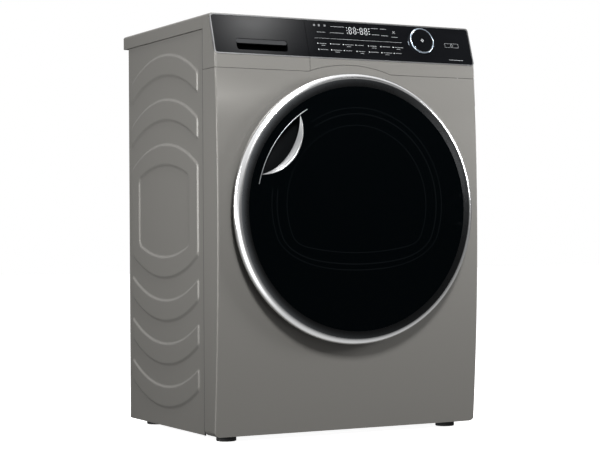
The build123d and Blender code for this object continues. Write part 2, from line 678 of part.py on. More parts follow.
def window_face(inset):
    """Round window flattened at its foot, inset all round."""
    disc, foot = WINDOW_R - inset, WINDOW_FOOT_R - inset
    rise = WINDOW_FOOT_Z + WINDOW_FOOT_R - WINDOW_Z
    z = WINDOW_Z + (rise ** 2 + disc ** 2 - foot ** 2) / (2 * rise)
    x = sqrt(disc ** 2 - (z - WINDOW_Z) ** 2)
    head = ThreePointArc((-x, z), (0, WINDOW_Z + disc), (x, z))
    base = ThreePointArc((x, z), (0, WINDOW_FOOT_Z + inset), (-x, z))
    face = make_face([head, base])
    return fillet(face.vertices(), WINDOW_CORNER_R - inset)


def door_back_shell():
    """Rear half of the door, with the window's hole and a notch for the hinge."""
    front, back = crown(RING_BACK), crown(SHELL_BACK)
    points = [(SHELL_R - MOULD, front - 1), (DOOR_R - 2.8, front - 1), (DOOR_R - 2.8, front), (SHELL_R, front),
              (SHELL_R, back), (150, back), (150, back - MOULD), (SHELL_R - MOULD, back - MOULD)]
    shell = turned(points, DOOR_Z)
    centre = rod_y(151, (back - MOULD, back), 0, DOOR_Z)
    shell = shell + centre - slab_y(window_face(-CLEAR), (back - 9, back + 9))
    notch = block((HINGE_X - 40, DOOR_R + 5), (front - 3, back + 3), hinge_span(6))
    return shell - notch


def door_bowl():
    """Deep-drawn window bowl that reaches into the tunnel."""
    back = crown(SHELL_BACK)
    rim = Plane.XZ.offset(-(back - MOULD)) * window_face(0)
    end = Plane.XZ.offset(-(back + BOWL_DEPTH)) * window_face(BOWL_DRAFT)
    outer = loft([rim, end])
    rim_in = Plane.XZ.offset(-(back - MOULD - 0.2)) * window_face(MOULD)
    end_in = Plane.XZ.offset(-(back + BOWL_DEPTH - MOULD)) * window_face(BOWL_DRAFT + MOULD)
    bowl = outer - loft([rim_in, end_in])
    flange = slab_y(window_face(-8) - window_face(1), (back - 2 * MOULD, back - MOULD))
    return bowl + flange


def door_seal():
    """Soft lip on the door's rear face around the window."""
    y = (crown(SHELL_BACK), Y_FRONT - 9.0 - CLEAR)
    return tube_y(OPENING_R + 16, OPENING_R + 6, y, 0, OPENING_Z) & rod_y(SHELL_R - 4, y, 0, DOOR_Z)


def hinge_y():
    return crown(HINGE_BEHIND)


def door_hinge_arm():
    """Door half of the hinge: a knuckle on a leaf that is screwed to the rear shell."""
    half = HINGE_HALF_H - 14.0
    span = (DOOR_Z - half, DOOR_Z + half)
    knuckle = rod_z(5, span, HINGE_X, hinge_y())
    leaf = block((HINGE_X - 60, HINGE_X), (hinge_y() - 2.5, hinge_y() + 0.5), span)
    foot_y = (hinge_y(), crown(SHELL_BACK) - MOULD)
    foot = block((HINGE_X - 60, HINGE_X - 44), foot_y, span)
    return knuckle + leaf + foot - rod_z(2.5 + RUN, (span[0] - 1, span[1] + 1), HINGE_X, hinge_y())


def hinge_bracket():
    """Case half of the hinge: two slanting ears on a leaf behind the front panel."""
    lean = radians(HINGE_LEAN)
    along = (cos(lean), sin(lean))
    side = (-sin(lean) * 2.5, cos(lean) * 2.5)
    reach = (front_y(DOOR_Z) + SHEET + 1.0 - hinge_y()) / sin(lean) + 2.0
    far = (HINGE_X + along[0] * reach, hinge_y() + along[1] * reach)
    ear = outline((HINGE_X + side[0], hinge_y() + side[1]), (far[0] + side[0], far[1] + side[1]),
                  (far[0] - side[0], far[1] - side[1]), (HINGE_X - side[0], hinge_y() - side[1]))
    leaf_y = (front_y(DOOR_Z) + SHEET + 0.6, front_y(DOOR_Z) + SHEET + 2.6)
    bracket = block((HINGE_X - 37, HINGE_X), leaf_y, hinge_span(14))
    inner = HINGE_HALF_H - 14.0 + CLEAR
    for low, high in ((-HINGE_HALF_H, -inner), (inner, HINGE_HALF_H)):
        span = (DOOR_Z + low, DOOR_Z + high)
        bracket += extrude(Pos(0, 0, span[0]) * ear, amount=span[1] - span[0])
        bracket += rod_z(5, span, HINGE_X, hinge_y())
    return bracket - rod_z(2.5, hinge_span(1), HINGE_X, hinge_y())


def hinge_pin():
    return rod_z(2.5, hinge_span(0), HINGE_X, hinge_y())


def door_latch_hook():
    """Hook on the door's rear face that enters the case's catch."""
    x = latch_x(-1.0)
    y = (crown(SHELL_BACK), Y_FRONT + 2)
    hook = block(x, y, latch_z(-4))
    return hook - block((x[0] - 1, x[0] + 4), (y[1] - 14, y[1] - 7), latch_z(0))


def latch_catch():
    """Catch box behind the front panel."""
    x, z = latch_x(5), latch_z(8)
    case = block(x, (Y_FRONT - 15.5, Y_FRONT + 12), z)
    return case - block(latch_x(1.2), (Y_FRONT - 20, Y_FRONT + 8), latch_z(0.5))


# ---------------------------------------------------------------- drum group
def drum_shell():
    """Drum with its rolled front mouth, a belt track and two beads."""
    front = Y_FRONT + DRUM_Y
    outer = [(DRUM_MOUTH_R, front), (DRUM_R - 10, front), (DRUM_R, front + 7), (DRUM_R, DRUM_BACK_Y)]
    inner = [(DRUM_R - SHEET, DRUM_BACK_Y), (DRUM_R - SHEET, front + 7.4), (DRUM_R - 10.4, front + SHEET),
             (DRUM_MOUTH_R, front + SHEET)]
    return turned(outer + inner, DRUM_Z)


def drum_back():
    """Perforated rear disc with its spider and shaft."""
    y = (DRUM_BACK_Y - 2 * SHEET, DRUM_BACK_Y)
    disc = rod_y(DRUM_R - SHEET, y, 0, DRUM_Z)
    holes = []
    for ring, count in ((90, 16), (130, 24), (170, 30)):
        for step in range(count):
            angle = 2 * pi * step / count
            holes.append(rod_y(6, (y[0] - 1, y[1] + 1), ring * cos(angle), DRUM_Z + ring * sin(angle)))
    disc -= holes
    boss = rod_y(40, (y[1], y[1] + 10), 0, DRUM_Z)
    return disc + boss + rod_y(SHAFT_R, (y[1], REAR_SHEET_Y - 4), 0, DRUM_Z)


def drum_lifters():
    """Three paddles that lift the washing."""
    y = (Y_FRONT + DRUM_Y + 20, DRUM_BACK_Y - 3)
    paddles = []
    for step in range(3):
        foot = sqrt((DRUM_R - SHEET) ** 2 - 30 ** 2) - CLEAR
        wedge = outline((-30, foot), (-12, DRUM_R - LIFTER_H), (12, DRUM_R - LIFTER_H), (30, foot))
        wedge = fillet(wedge.vertices().sort_by(Axis.Y)[:2], 8)
        turn = Pos(0, DRUM_Z) * Rot(0, 0, 90 + 120 * step)
        paddles.append(slab_y(turn * wedge, y))
    return paddles[0] + paddles[1] + paddles[2]


def rear_bearing():
    """Bearing housing on the rear panel."""
    y = (REAR_SHEET_Y - 22, REAR_SHEET_Y)
    housing = rod_y(34, (y[1] - 4, y[1]), 0, DRUM_Z) + rod_y(24, y, 0, DRUM_Z)
    return housing - rod_y(SHAFT_R + RUN, (y[0] - 1, y[1] + 1), 0, DRUM_Z)


def support_roller(side):
    y = (Y_FRONT + DRUM_Y + 12, Y_FRONT + DRUM_Y + 12 + ROLLER_W)
    wheel = rod_y(ROLLER_R, y, side * ROLLER_X, roller_z())
    wheel = fillet(wheel.edges(), 1.5)
    return wheel - rod_y(AXLE_R + RUN, (y[0] - 1, y[1] + 1), side * ROLLER_X, roller_z())


def roller_axles():
    y = (BULKHEAD_Y, Y_FRONT + DRUM_Y + 12 + ROLLER_W + 3)
    left, right = [rod_y(AXLE_R, y, side * ROLLER_X, roller_z()) for side in (-1, 1)]
    return left + right


def belt_face(grow):
    """Tight loop round the drum, the motor pulley and the idler."""
    rounds = [(0, DRUM_Z, DRUM_R), (MOTOR_X, MOTOR_Z, PULLEY_R), (IDLER_X, IDLER_Z, IDLER_R)]
    edges = [(Pos(x, z) * Circle(radius + grow)).edge() for x, z, radius in rounds]
    return make_hull(edges)


def drum_belt():
    y = (Y_FRONT + BELT_Y - BELT_W / 2, Y_FRONT + BELT_Y + BELT_W / 2)
    return slab_y(belt_face(CLEAR + BELT_T), y) - slab_y(belt_face(CLEAR), (y[0] - 1, y[1] + 1))


def drive_motor():
    """Motor can on its foot, with the idler's arm and axle."""
    y = (Y_FRONT + 322, Y_FRONT + 405)
    can = fillet(rod_y(48, y, MOTOR_X, MOTOR_Z).edges(), 4)
    foot = block((MOTOR_X - 40, MOTOR_X + 40), y, (TRAY_FLOOR_Z, MOTOR_Z - 30))
    arm = block((IDLER_X - 8, MOTOR_X - 8), (y[0] - 2, y[0] + 4), (IDLER_Z - 8, IDLER_Z + 8))
    axle = rod_y(4, (Y_FRONT + BELT_Y - 10, y[0]), IDLER_X, IDLER_Z)
    return can + foot + arm + axle - rod_y(5 + RUN, (y[0] - 1, y[1] + 1), MOTOR_X, MOTOR_Z)


def motor_rotor():
    """Motor shaft with its ribbed pulley."""
    y = (Y_FRONT + BELT_Y - 12, Y_FRONT + 444)
    return rod_y(5, y, MOTOR_X, MOTOR_Z) + rod_y(PULLEY_R, (y[0], y[0] + 24), MOTOR_X, MOTOR_Z)


def fan_wheel():
    """Radial fan on the rear end of the motor shaft."""
    y = (Y_FRONT + 412, Y_FRONT + 440)
    wheel = rod_y(66, (y[1] - 2, y[1]), MOTOR_X, MOTOR_Z) + rod_y(14, y, MOTOR_X, MOTOR_Z)
    for step in range(18):
        blade = Pos(MOTOR_X, 0, MOTOR_Z) * Rot(0, 20 * step, 0) * block((46, 65), y, (-1, 1))
        wheel += blade
    return wheel - rod_y(5, (y[0] - 1, y[1] + 1), MOTOR_X, MOTOR_Z)


def idler_pulley():
    y = (Y_FRONT + BELT_Y - 9, Y_FRONT + BELT_Y + 9)
    return tube_y(IDLER_R, 4 + RUN, y, IDLER_X, IDLER_Z)


# ---------------------------------------------------------------- heat pump and air path
def compressor():
    x, y = COMPRESSOR_X, Y_FRONT + COMPRESSOR_Y
    head = TRAY_FLOOR_Z + COMPRESSOR_H
    can = rod_z(COMPRESSOR_R, (TRAY_FLOOR_Z, head), x, y)
    can = fillet(can.edges(), 18)
    return can + rod_z(5, (head - 5, head + 24), x - 20, y)


def heat_exchanger(y, columns):
    """Upright fins on level tubes, between two tube plates."""
    low, high = EXCHANGER_X
    z = (TRAY_FLOOR_Z, TRAY_FLOOR_Z + EXCHANGER_H)
    pack = [block((x, x + 2), y, z) for x in (low, high - 2)]
    fins = int((high - low) / FIN_PITCH)
    for step in range(1, fins):
        x = low + step * (high - low) / fins
        pack.append(block((x - FIN_T / 2, x + FIN_T / 2), (y[0] + 2, y[1] - 2), (z[0] + 2, z[1] - 2)))
    tubes = []
    for column in range(columns):
        y_tube = y[0] + (column + 0.5) * (y[1] - y[0]) / columns
        for row in range(TUBE_ROWS):
            z_tube = z[0] + (row + 0.5) * EXCHANGER_H / TUBE_ROWS
            middle = Pos((low + high) / 2, y_tube, z_tube)
            tubes.append(middle * Rot(0, 90, 0) * Cylinder(TUBE_R, high - low))
    return tubes[0] + tubes[1:] + pack


def evaporator():
    return heat_exchanger((Y_FRONT + 80, Y_FRONT + 150), 2)


def condenser():
    return heat_exchanger((Y_FRONT + 160, Y_FRONT + 270), 3)


def filter_body(grow):
    """Lint filter cassette, hollowed at its head to follow the tunnel."""
    half = FILTER_HALF + grow
    y = (Y_FRONT + FILTER_Y[0] - grow, Y_FRONT + FILTER_Y[1] + grow)
    body = block((-half, half), y, (FILTER_FOOT_Z - grow, OPENING_Z - 100))
    return body - rod_y(OPENING_R + 0.4, (y[0] - 5, y[1] + 5), 0, OPENING_Z)


def lint_filter_frame():
    """Cassette frame with two windows for the mesh and a finger tab."""
    frame = filter_body(0)
    y = (Y_FRONT + FILTER_Y[0], Y_FRONT + FILTER_Y[1])
    for low, high in ((-FILTER_HALF + 8, -4), (4, FILTER_HALF - 8)):
        frame -= block((low, high), (y[0] - 1, y[1] + 1), (FILTER_FOOT_Z + 8, 265))
    return frame


def lint_filter_mesh():
    """Two fine screens set in the cassette."""
    mid = Y_FRONT + sum(FILTER_Y) / 2
    left = block((-FILTER_HALF + 8, -4), (mid - 0.5, mid + 0.5), (FILTER_FOOT_Z + 8, 265))
    right = block((4, FILTER_HALF - 8), (mid - 0.5, mid + 0.5), (FILTER_FOOT_Z + 8, 265))
    return left + right


def filter_housing():
    """Shaft that the lint filter slides in, open to the evaporator behind it."""
    gap = 1.0
    half = FILTER_HALF + gap
    y = (Y_FRONT + FILTER_Y[0] - gap, Y_FRONT + FILTER_Y[1] + gap)
    z = (FILTER_FOOT_Z - gap - 2, 196.0)
    shaft = block((-half - 2, half + 2), (y[0] - 2, y[1] + 2), z)
    shaft -= block((-half, half), y, (z[0] + 2, z[1] + 1))
    return shaft - block((-half + 10, half - 10), (y[1] - 1, y[1] + 5), (z[0] + 12, z[1] - 8))


# ---------------------------------------------------------------- connections and fasteners
def cord_gland():
    """Inlet gland for the mains lead in the rear panel."""
    x, z = CONNECTIONS_X, GLAND_Z
    y = (REAR_SHEET_Y + SHEET, REAR_SHEET_Y + SHEET + 14)
    gland = rod_y(13, (y[0], y[0] + 4), x, z) + rod_y(9, y, x, z)
    return gland - rod_y(4, (y[0] + 2, y[1] + 1), x, z)


def drain_spigot():
    """Hose spigot for draining to a waste pipe."""
    x, z = CONNECTIONS_X, SPIGOT_Z
    y = (REAR_SHEET_Y + SHEET, REAR_SHEET_Y + SHEET + 26)
    spigot = rod_y(12, (y[0], y[0] + 3), x, z) + rod_y(6, y, x, z)
    return spigot - rod_y(4, (y[0] + 1, y[1] + 1), x, z)


def case_screws():
    """Cross-head screws on the rear sheet and the cover."""
    y = (REAR_SHEET_Y + SHEET, REAR_SHEET_Y + SHEET + 2.2)
    heads = None
    for x in (-285, 285):
        for z in (40, 200, 400, 600, 790):
            head = rod_y(4, y, x, z) - block((x - 2, x + 2), (y[1] - 1, y[1] + 1), (z - 0.5, z + 0.5))
            heads = head if heads is None else heads + head
    return heads


def build():
    """Every sub-part by its node name."""
    feet = {}
    for side, word in ((-1, "left"), (1, "right")):
        for y, place in zip(foot_ys(), ("front", "rear")):
            feet[f"foot_{place}_{word}"] = levelling_foot(side, y)
    return {
        "side_panel_left": side_panel(-1), "side_panel_right": side_panel(1),
        "rear_panel": rear_panel(), "rear_duct_cover": rear_duct_cover(),
        "top_cover": top_cover(), "base_tray": base_tray(), "front_panel": front_panel(),
        "front_bulkhead": front_bulkhead(), "tunnel_collar": tunnel_collar(),
        "console_housing": console_housing(), "console_fascia": console_fascia(),
        "console_trim": trim_ring((SPLIT_X + SEAM, HALF)), "control_board": control_board(),
        "program_knob": program_knob(), "start_button": start_button(), "power_button": power_button(),
        "drawer_front": drawer_front(), "drawer_grip": drawer_grip(), "drawer_band": drawer_band(),
        "drawer_trim": trim_ring((-HALF, SPLIT_X)), "water_tank": water_tank(),
        "tank_housing": tank_housing(),
        "door_ring": door_ring(), "door_glass": door_glass(), "door_back_shell": door_back_shell(),
        "door_bowl": door_bowl(), "door_handle_cup": door_handle_cup(),
        "door_handle_crescent": door_handle_crescent(), "door_handle_trim": door_handle_trim(),
        "door_seal": door_seal(), "door_hinge_arm": door_hinge_arm(), "door_latch_hook": door_latch_hook(),
        "hinge_bracket": hinge_bracket(), "hinge_pin": hinge_pin(), "latch_catch": latch_catch(),
        "drum_shell": drum_shell(), "drum_back": drum_back(), "drum_lifters": drum_lifters(),
        "rear_bearing": rear_bearing(), "support_roller_left": support_roller(-1),
        "support_roller_right": support_roller(1), "roller_axles": roller_axles(),
        "drum_belt": drum_belt(), "drive_motor": drive_motor(), "motor_rotor": motor_rotor(),
        "fan_wheel": fan_wheel(), "idler_pulley": idler_pulley(), "compressor": compressor(),
        "evaporator": evaporator(), "condenser": condenser(), "lint_filter_frame": lint_filter_frame(),
        "lint_filter_mesh": lint_filter_mesh(), "filter_housing": filter_housing(),
        "cord_gland": cord_gland(), "drain_spigot": drain_spigot(), "case_screws": case_screws(),
        **feet,
    }


os.makedirs("parts", exist_ok=True)
for name, solid in build().items():
    export_step(solid, f"parts/{name}.step")
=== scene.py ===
"""Clothes dryer: the finished looks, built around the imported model."""
import json
from math import asin, atan2, cos, pi, radians, sin, sqrt

import bpy
from bpy.props import FloatProperty, FloatVectorProperty, IntProperty, PointerProperty
from mathutils import Matrix, Vector


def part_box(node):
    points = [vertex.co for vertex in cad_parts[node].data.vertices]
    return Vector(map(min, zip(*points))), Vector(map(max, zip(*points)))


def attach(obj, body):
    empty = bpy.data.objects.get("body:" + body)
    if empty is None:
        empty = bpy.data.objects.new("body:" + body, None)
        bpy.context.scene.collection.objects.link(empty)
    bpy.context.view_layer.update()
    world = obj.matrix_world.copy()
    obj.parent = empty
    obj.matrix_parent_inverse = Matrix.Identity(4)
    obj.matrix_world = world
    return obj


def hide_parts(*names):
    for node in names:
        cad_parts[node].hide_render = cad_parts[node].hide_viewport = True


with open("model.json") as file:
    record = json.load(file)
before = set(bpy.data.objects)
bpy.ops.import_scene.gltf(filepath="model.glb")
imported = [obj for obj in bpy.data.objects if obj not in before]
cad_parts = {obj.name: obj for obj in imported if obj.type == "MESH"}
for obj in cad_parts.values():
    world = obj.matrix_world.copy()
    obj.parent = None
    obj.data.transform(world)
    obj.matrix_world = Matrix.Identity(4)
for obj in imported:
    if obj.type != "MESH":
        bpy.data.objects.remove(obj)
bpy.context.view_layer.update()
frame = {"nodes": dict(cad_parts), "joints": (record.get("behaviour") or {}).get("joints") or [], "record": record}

bl_info = {
    "name": "Clothes Dryer Finish",
    "version": (1, 0, 0),
    "blender": (4, 5, 0),
    "location": "View3D > Sidebar > Dryer",
    "description": "Models the visible surfaces of a front-loading clothes dryer around its packed frame",
    "category": "Object",
}

MM = 0.001

# ---- places from the frame
JOINTS = {joint["name"]: joint for joint in frame["joints"]}
KNOB_UP = 48.5 * MM                 # knob's axis above the foot of the fascia, along the slope
KNOB_AXIS = Vector(JOINTS["knob_turn"]["axis"]).normalized()
KNOB_PLACE = Vector(JOINTS["knob_turn"]["pos_m"])
ACROSS = Vector((1, 0, 0))
UP_SLOPE = KNOB_AXIS.cross(ACROSS)
FASCIA_FOOT = KNOB_PLACE - ACROSS * KNOB_PLACE.x - UP_SLOPE * KNOB_UP

RING_LOW, RING_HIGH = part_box("door_ring")
DOOR_CENTRE = (RING_LOW + RING_HIGH) / 2
DOOR_R = (RING_HIGH.x - RING_LOW.x) / 2
CROWN_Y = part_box("door_glass")[0].y
GLASS_R = (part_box("door_glass")[1].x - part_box("door_glass")[0].x) / 2
GLASS_RISE = 3.0 * MM
GLASS_BALL_R = (GLASS_R ** 2 + GLASS_RISE ** 2) / (2 * GLASS_RISE)

BEVEL_WIDTH = 17.0 * MM             # slope between the glass and the bright rim

# handle pocket of the door, about the door's axis
HANDLE_R = 228.0 * MM
HANDLE_MID = radians(144.5)
HANDLE_SPAN = radians(18.5)
POCKET_DIP = 177.5 * MM
CRESCENT_DIP = 189.0 * MM
LINE_R = 229.5 * MM                 # thin silver line outside the pocket
LINE_SPAN = radians(23.5)

# window behind the glass: a disc flattened at its foot by a long arc
WINDOW_R = 186.0 * MM
WINDOW_Z = 468.0 * MM
WINDOW_FOOT_Z = 345.0 * MM
WINDOW_FOOT_BOW = 560.0 * MM
WINDOW_CORNER = 45.0 * MM

# pressed bands of the side panels, in millimetres above the floor
BAND_MIDDLE_Y = 38.0 * MM
ARCH_TOPS = (786, 693)
SAG_FEET = (228, 138, 49)
LOOP_TOP, LOOP_FOOT = 600, 318
BAND_CORNER = 8.0 * MM
CAD_SEAM = 0.8 * MM                 # gap that the frame leaves ahead of each side panel

# programme knob, about its own axis
KNOB_R = 28.5 * MM
KNOB_TOP = 6.0 * MM
KNOB_BORE = 24.2 * MM
KNOB_LIP = KNOB_R - 2.7 * MM
KNOB_NIB = (-20.0 * MM, -17.0 * MM)

# places on the fascia, in millimetres: across from its middle, and up its slope
DISPLAY_UP = 64.0
DIGIT_PLACES = (12.0, 22.5, 38.0, 48.5)
LAMP_COLUMNS = [-68.0 + 29.3 * column for column in range(7)]
LAMP_ROWS = (32.0, 18.5)
POWER_X, POWER_UP = 252.0, 43.0

EYE = Vector((-1.6548, -3.2473, 0.4020))    # where the camera stands
LIGHTS = (                          # name, place, target, width, height, watts
    ("key_light", (-0.5, -2.5, 2.4), (0.05, -0.25, 0.5), 0.6, 0.6, 118.0),
    ("fill_light", (2.6, -1.6, 1.2), (0.1, -0.2, 0.45), 0.8, 0.8, 48.0),
    ("side_light", (-1.35, -0.08, 0.62), (-0.3, 0.0, 0.45), 0.25, 0.6, 12.5),
    ("top_light", (-0.4, 0.2, 3.2), (-0.2, 0.0, 0.6), 1.4, 1.4, 42.0),
)


def fascia_matrix(x, up, lift):
    """Places a piece drawn flat, facing +Z, on the fascia."""
    turn = Matrix((ACROSS, UP_SLOPE, KNOB_AXIS)).transposed().to_4x4()
    place = FASCIA_FOOT + ACROSS * x + UP_SLOPE * up + KNOB_AXIS * lift
    return Matrix.Translation(place) @ turn


def door_point(radius, angle, y):
    return Vector((DOOR_CENTRE.x + radius * cos(angle), y, DOOR_CENTRE.z + radius * sin(angle)))


def mirrored(point, normal):
    """Direction that a polished face shows to the camera at a point."""
    toward = (EYE - point).normalized()
    return (2 * toward.dot(normal) * normal - toward).normalized()


def glass_y(radius):
    """Front surface of the domed glass at a radius from the door's axis."""
    return CROWN_Y + GLASS_BALL_R - sqrt(GLASS_BALL_R ** 2 - radius ** 2)


# ---- shader arithmetic
class Wire:
    """An output socket that takes part in ordinary sums."""

    def __init__(self, finish, socket):
        self.finish = finish
        self.socket = socket

    def _sum(self, operation, first, second=0.0):
        return self.finish.add("ShaderNodeMath", {"operation": operation}, {0: first, 1: second})

    def __add__(self, other):
        return self._sum("ADD", self, other)

    def __radd__(self, other):
        return self._sum("ADD", other, self)

    def __sub__(self, other):
        return self._sum("SUBTRACT", self, other)

    def __rsub__(self, other):
        return self._sum("SUBTRACT", other, self)

    def __mul__(self, other):
        return self._sum("MULTIPLY", self, other)

    def __rmul__(self, other):
        return self._sum("MULTIPLY", other, self)

    def __truediv__(self, other):
        return self._sum("DIVIDE", self, other)

    def __pow__(self, other):
        return self._sum("POWER", self, other)

    def clipped(self):
        return self.finish.add("ShaderNodeClamp", None, {0: self})

    def sine(self):
        return self._sum("SINE", self)

    def above(self, level):
        return self._sum("GREATER_THAN", self, level)


class Finish:
    """A node tree with one method that adds any node."""

    def __init__(self, tree):
        self.tree = tree

    def add(self, kind, settings=None, values=None, out=0):
        node = self.tree.nodes.new(kind)
        for key, value in (settings or {}).items():
            setattr(node, key, value)
        for key, value in (values or {}).items():
            self.feed(node.inputs[key], value)
        return Wire(self, node.outputs[out])

    def feed(self, socket, value):
        if isinstance(value, Wire):
            self.tree.links.new(value.socket, socket)
        else:
            socket.default_value = value

    def place(self, scale=(1, 1, 1)):
        """Object coordinates, in metres, stretched by scale."""
        coordinates = self.add("ShaderNodeTexCoord", out="Object")
        return self.add("ShaderNodeMapping", None, {"Vector": coordinates, "Scale": scale})

    def axis(self, letter, where=None):
        """One coordinate of a place."""
        return self.add("ShaderNodeSeparateXYZ", None, {0: where or self.place()}, out=letter)

    def noise(self, scale, detail=3.0, where=None):
        values = {"Vector": where or self.place(), "Scale": scale, "Detail": detail}
        return self.add("ShaderNodeTexNoise", None, values, out="Fac")

    def blend(self, factor, first, second):
        """Colour between two colours."""
        settings = {"data_type": "RGBA"}
        return self.add("ShaderNodeMix", settings, {0: factor, 6: first, 7: second}, out=2)

    def bump(self, height, strength, distance):
        values = {"Height": height, "Strength": strength, "Distance": distance}
        return self.add("ShaderNodeBump", None, values)


class Surface(Finish):
    """A material whose shader's own sockets hold the constants."""

    def __init__(self, name, **constants):
        self.material = bpy.data.materials.new(name)
        self.material.use_nodes = True
        super().__init__(self.material.node_tree)
        self.shader = self.tree.nodes["Principled BSDF"]
        for key, value in constants.items():
            self.shader.inputs[key.replace("_", " ")].default_value = value

    def show(self, socket, value):
        self.feed(self.shader.inputs[socket], value)


def tint(colour, gain):
    return (colour[0] * gain, colour[1] * gain, colour[2] * gain, 1.0)


# ---- finishes
def body_paint(colour):
    """Satin metallic enamel: fine flakes, faint orange peel."""
    paint = Surface("body_paint", Metallic=0.35, IOR=1.5, Coat_Roughness=0.25)
    flakes = paint.noise(2600.0, 2.0)
    cloud = paint.noise(3.0, 2.0)
    tone = paint.blend(flakes, tint(colour, 0.86), tint(colour, 1.14))
    tone = paint.blend(cloud * 0.35, tone, tint(colour, 0.93))
    paint.show("Base Color", tone)
    paint.show("Roughness", 0.44 + flakes * 0.10 + cloud * 0.03)
    paint.show("Coat Weight", 0.10 + cloud * 0.08)
    paint.show("Normal", paint.bump(paint.noise(420.0, 2.0), 0.05, 0.0002))
    return paint.material


def fascia_gloss(colour):
    """Deep black lacquered plastic with the faintest smears."""
    gloss = Surface("fascia_black", IOR=1.45, Specular_IOR_Level=0.38)
    smear = gloss.noise(9.0, 4.0, gloss.place((1.0, 3.0, 3.0)))
    gloss.show("Base Color", gloss.blend(smear, tint(colour, 0.8), tint(colour, 1.5)))
    gloss.show("Roughness", 0.05 + smear * 0.05)
    gloss.show("Normal", gloss.bump(gloss.noise(300.0), 0.015, 0.0001))
    return gloss.material


def bright_silver(name, colour, rough):
    """Plated plastic: polished metal with fine drawn lines and soft stains."""
    plate = Surface(name, Metallic=1.0)
    lines = plate.noise(900.0, 2.0, plate.place((0.15, 2.0, 1.0)))
    stain = plate.noise(22.0, 3.0)
    plate.show("Base Color", plate.blend(stain, tint(colour, 0.93), tint(colour, 1.04)))
    plate.show("Roughness", rough + lines * 0.06 + stain * 0.04)
    plate.show("Normal", plate.bump(lines, 0.02, 0.0001))
    return plate.material


def dark_bevel(colour):
    """Smoked plating of the bevel inside the silver rim, with a painted sheen: lighter towards its crest and
    towards the door's left side.
    """
    plate = Surface("dark_bevel", Metallic=0.85)
    x = plate.axis("X")
    z = plate.axis("Z") - DOOR_CENTRE.z
    reach = (x * x + z * z) ** 0.5
    # painted sheen: the colour lightens towards the crest and towards the -X side of the door, where the light
    # falls
    outward = ((reach - GLASS_R) / BEVEL_WIDTH).clipped() * (0.5 - x * 1.6).clipped()
    haze = plate.noise(60.0, 3.0)
    plate.show("Base Color", plate.blend(outward ** 2.2, tint(colour, 0.06), tint(colour, 1.5)))
    plate.show("Roughness", 0.24 + haze * 0.08)
    return plate.material


def smoked_glass():
    """Near-black polished glass, see-through by a few hundredths."""
    glass = Surface("smoked_glass", IOR=1.45, Alpha=0.88, Specular_IOR_Level=0.03)
    dust = glass.noise(140.0, 5.0)
    smear = glass.noise(7.0, 3.0)
    glass.show("Base Color", glass.blend(dust, (0.0004, 0.0009, 0.0012, 1), (0.0009, 0.0016, 0.0021, 1)))
    glass.show("Roughness", 0.06 + smear * 0.08)
    return glass.material


def bowl_glass():
    """Dark moulded glass of the window bowl."""
    glass = Surface("bowl_glass", IOR=1.5, Alpha=0.75)
    ripple = glass.noise(30.0, 2.0)
    glass.show("Base Color", glass.blend(ripple, (0.010, 0.013, 0.015, 1), (0.022, 0.027, 0.030, 1)))
    glass.show("Roughness", 0.08 + ripple * 0.10)
    glass.show("Normal", glass.bump(ripple, 0.1, 0.001))
    return glass.material


def moulded(name, colour, rough, grain=1800.0, depth=0.25, shine=0.5):
    """Moulded plastic with a fine spark-eroded grain."""
    plastic = Surface(name, IOR=1.46, Specular_IOR_Level=shine)
    grains = plastic.noise(grain, 2.0)
    cloud = plastic.noise(12.0, 3.0)
    plastic.show("Base Color", plastic.blend(cloud, tint(colour, 0.88), tint(colour, 1.12)))
    plastic.show("Roughness", rough + grains * 0.12)
    plastic.show("Normal", plastic.bump(grains, depth, 0.0001))
    return plastic.material


def milky_plastic(name, colour):
    """Translucent-looking tank plastic with flow marks."""
    plastic = Surface(name, IOR=1.46)
    flow = plastic.noise(18.0, 4.0, plastic.place((1.0, 0.3, 2.0)))
    plastic.show("Base Color", plastic.blend(flow, tint(colour, 0.85), tint(colour, 1.05)))
    plastic.show("Roughness", 0.28 + flow * 0.14)
    return plastic.material


def painted_glow_edge(name, colour):
    """Edge of the window's mouldings with a painted glow, which stands in for light caught through the smoked
    glass in places.
    """
    # the emission is painted light: the beads glow though they are no lamp
    plastic = Surface(name, IOR=1.46, Emission_Strength=0.55)
    tone_and_painted_glow = plastic.noise(5.0, 2.0)
    plastic.show("Base Color", plastic.blend(tone_and_painted_glow, tint(colour, 0.6), tint(colour, 1.2)))
    plastic.show("Roughness", 0.25 + tone_and_painted_glow * 0.1)
    plastic.show("Emission Color", plastic.blend(tone_and_painted_glow, tint(colour, 0.3), tint(colour, 2.4)))
    return plastic.material


def spangled_zinc(name, colour):
    """Zinc-coated sheet: crystal spangles and dull patches."""
    zinc = Surface(name, Metallic=0.9)
    cells = zinc.add("ShaderNodeTexVoronoi", None, {"Vector": zinc.place(), "Scale": 130.0}, out="Color")
    shade = zinc.add("ShaderNodeSeparateColor", None, {0: cells})
    dull = zinc.noise(9.0, 4.0)
    zinc.show("Base Color", zinc.blend(shade, tint(colour, 0.80), tint(colour, 1.10)))
    zinc.show("Roughness", 0.34 + shade * 0.12 + dull * 0.08)
    return zinc.material


def brushed_steel(name, colour, stretch=(1.0, 0.02, 1.0)):
    """Rolled stainless sheet with a grain along one direction."""
    steel = Surface(name, Metallic=1.0)
    grain = steel.noise(1500.0, 3.0, steel.place(stretch))
    patch = steel.noise(7.0, 2.0)
    steel.show("Base Color", steel.blend(grain, tint(colour, 0.88), tint(colour, 1.08)))
    steel.show("Roughness", 0.24 + grain * 0.16 + patch * 0.06)
    steel.show("Normal", steel.bump(grain, 0.08, 0.0001))
    return steel.material


def cast_metal(name, colour):
    """Rough casting, stained in places."""
    metal = Surface(name, Metallic=0.8)
    skin = metal.noise(700.0, 4.0)
    stain = metal.noise(25.0, 4.0)
    metal.show("Base Color", metal.blend(stain, tint(colour, 0.75), tint(colour, 1.15)))
    metal.show("Roughness", 0.48 + skin * 0.16)
    metal.show("Normal", metal.bump(skin, 0.4, 0.0003))
    return metal.material


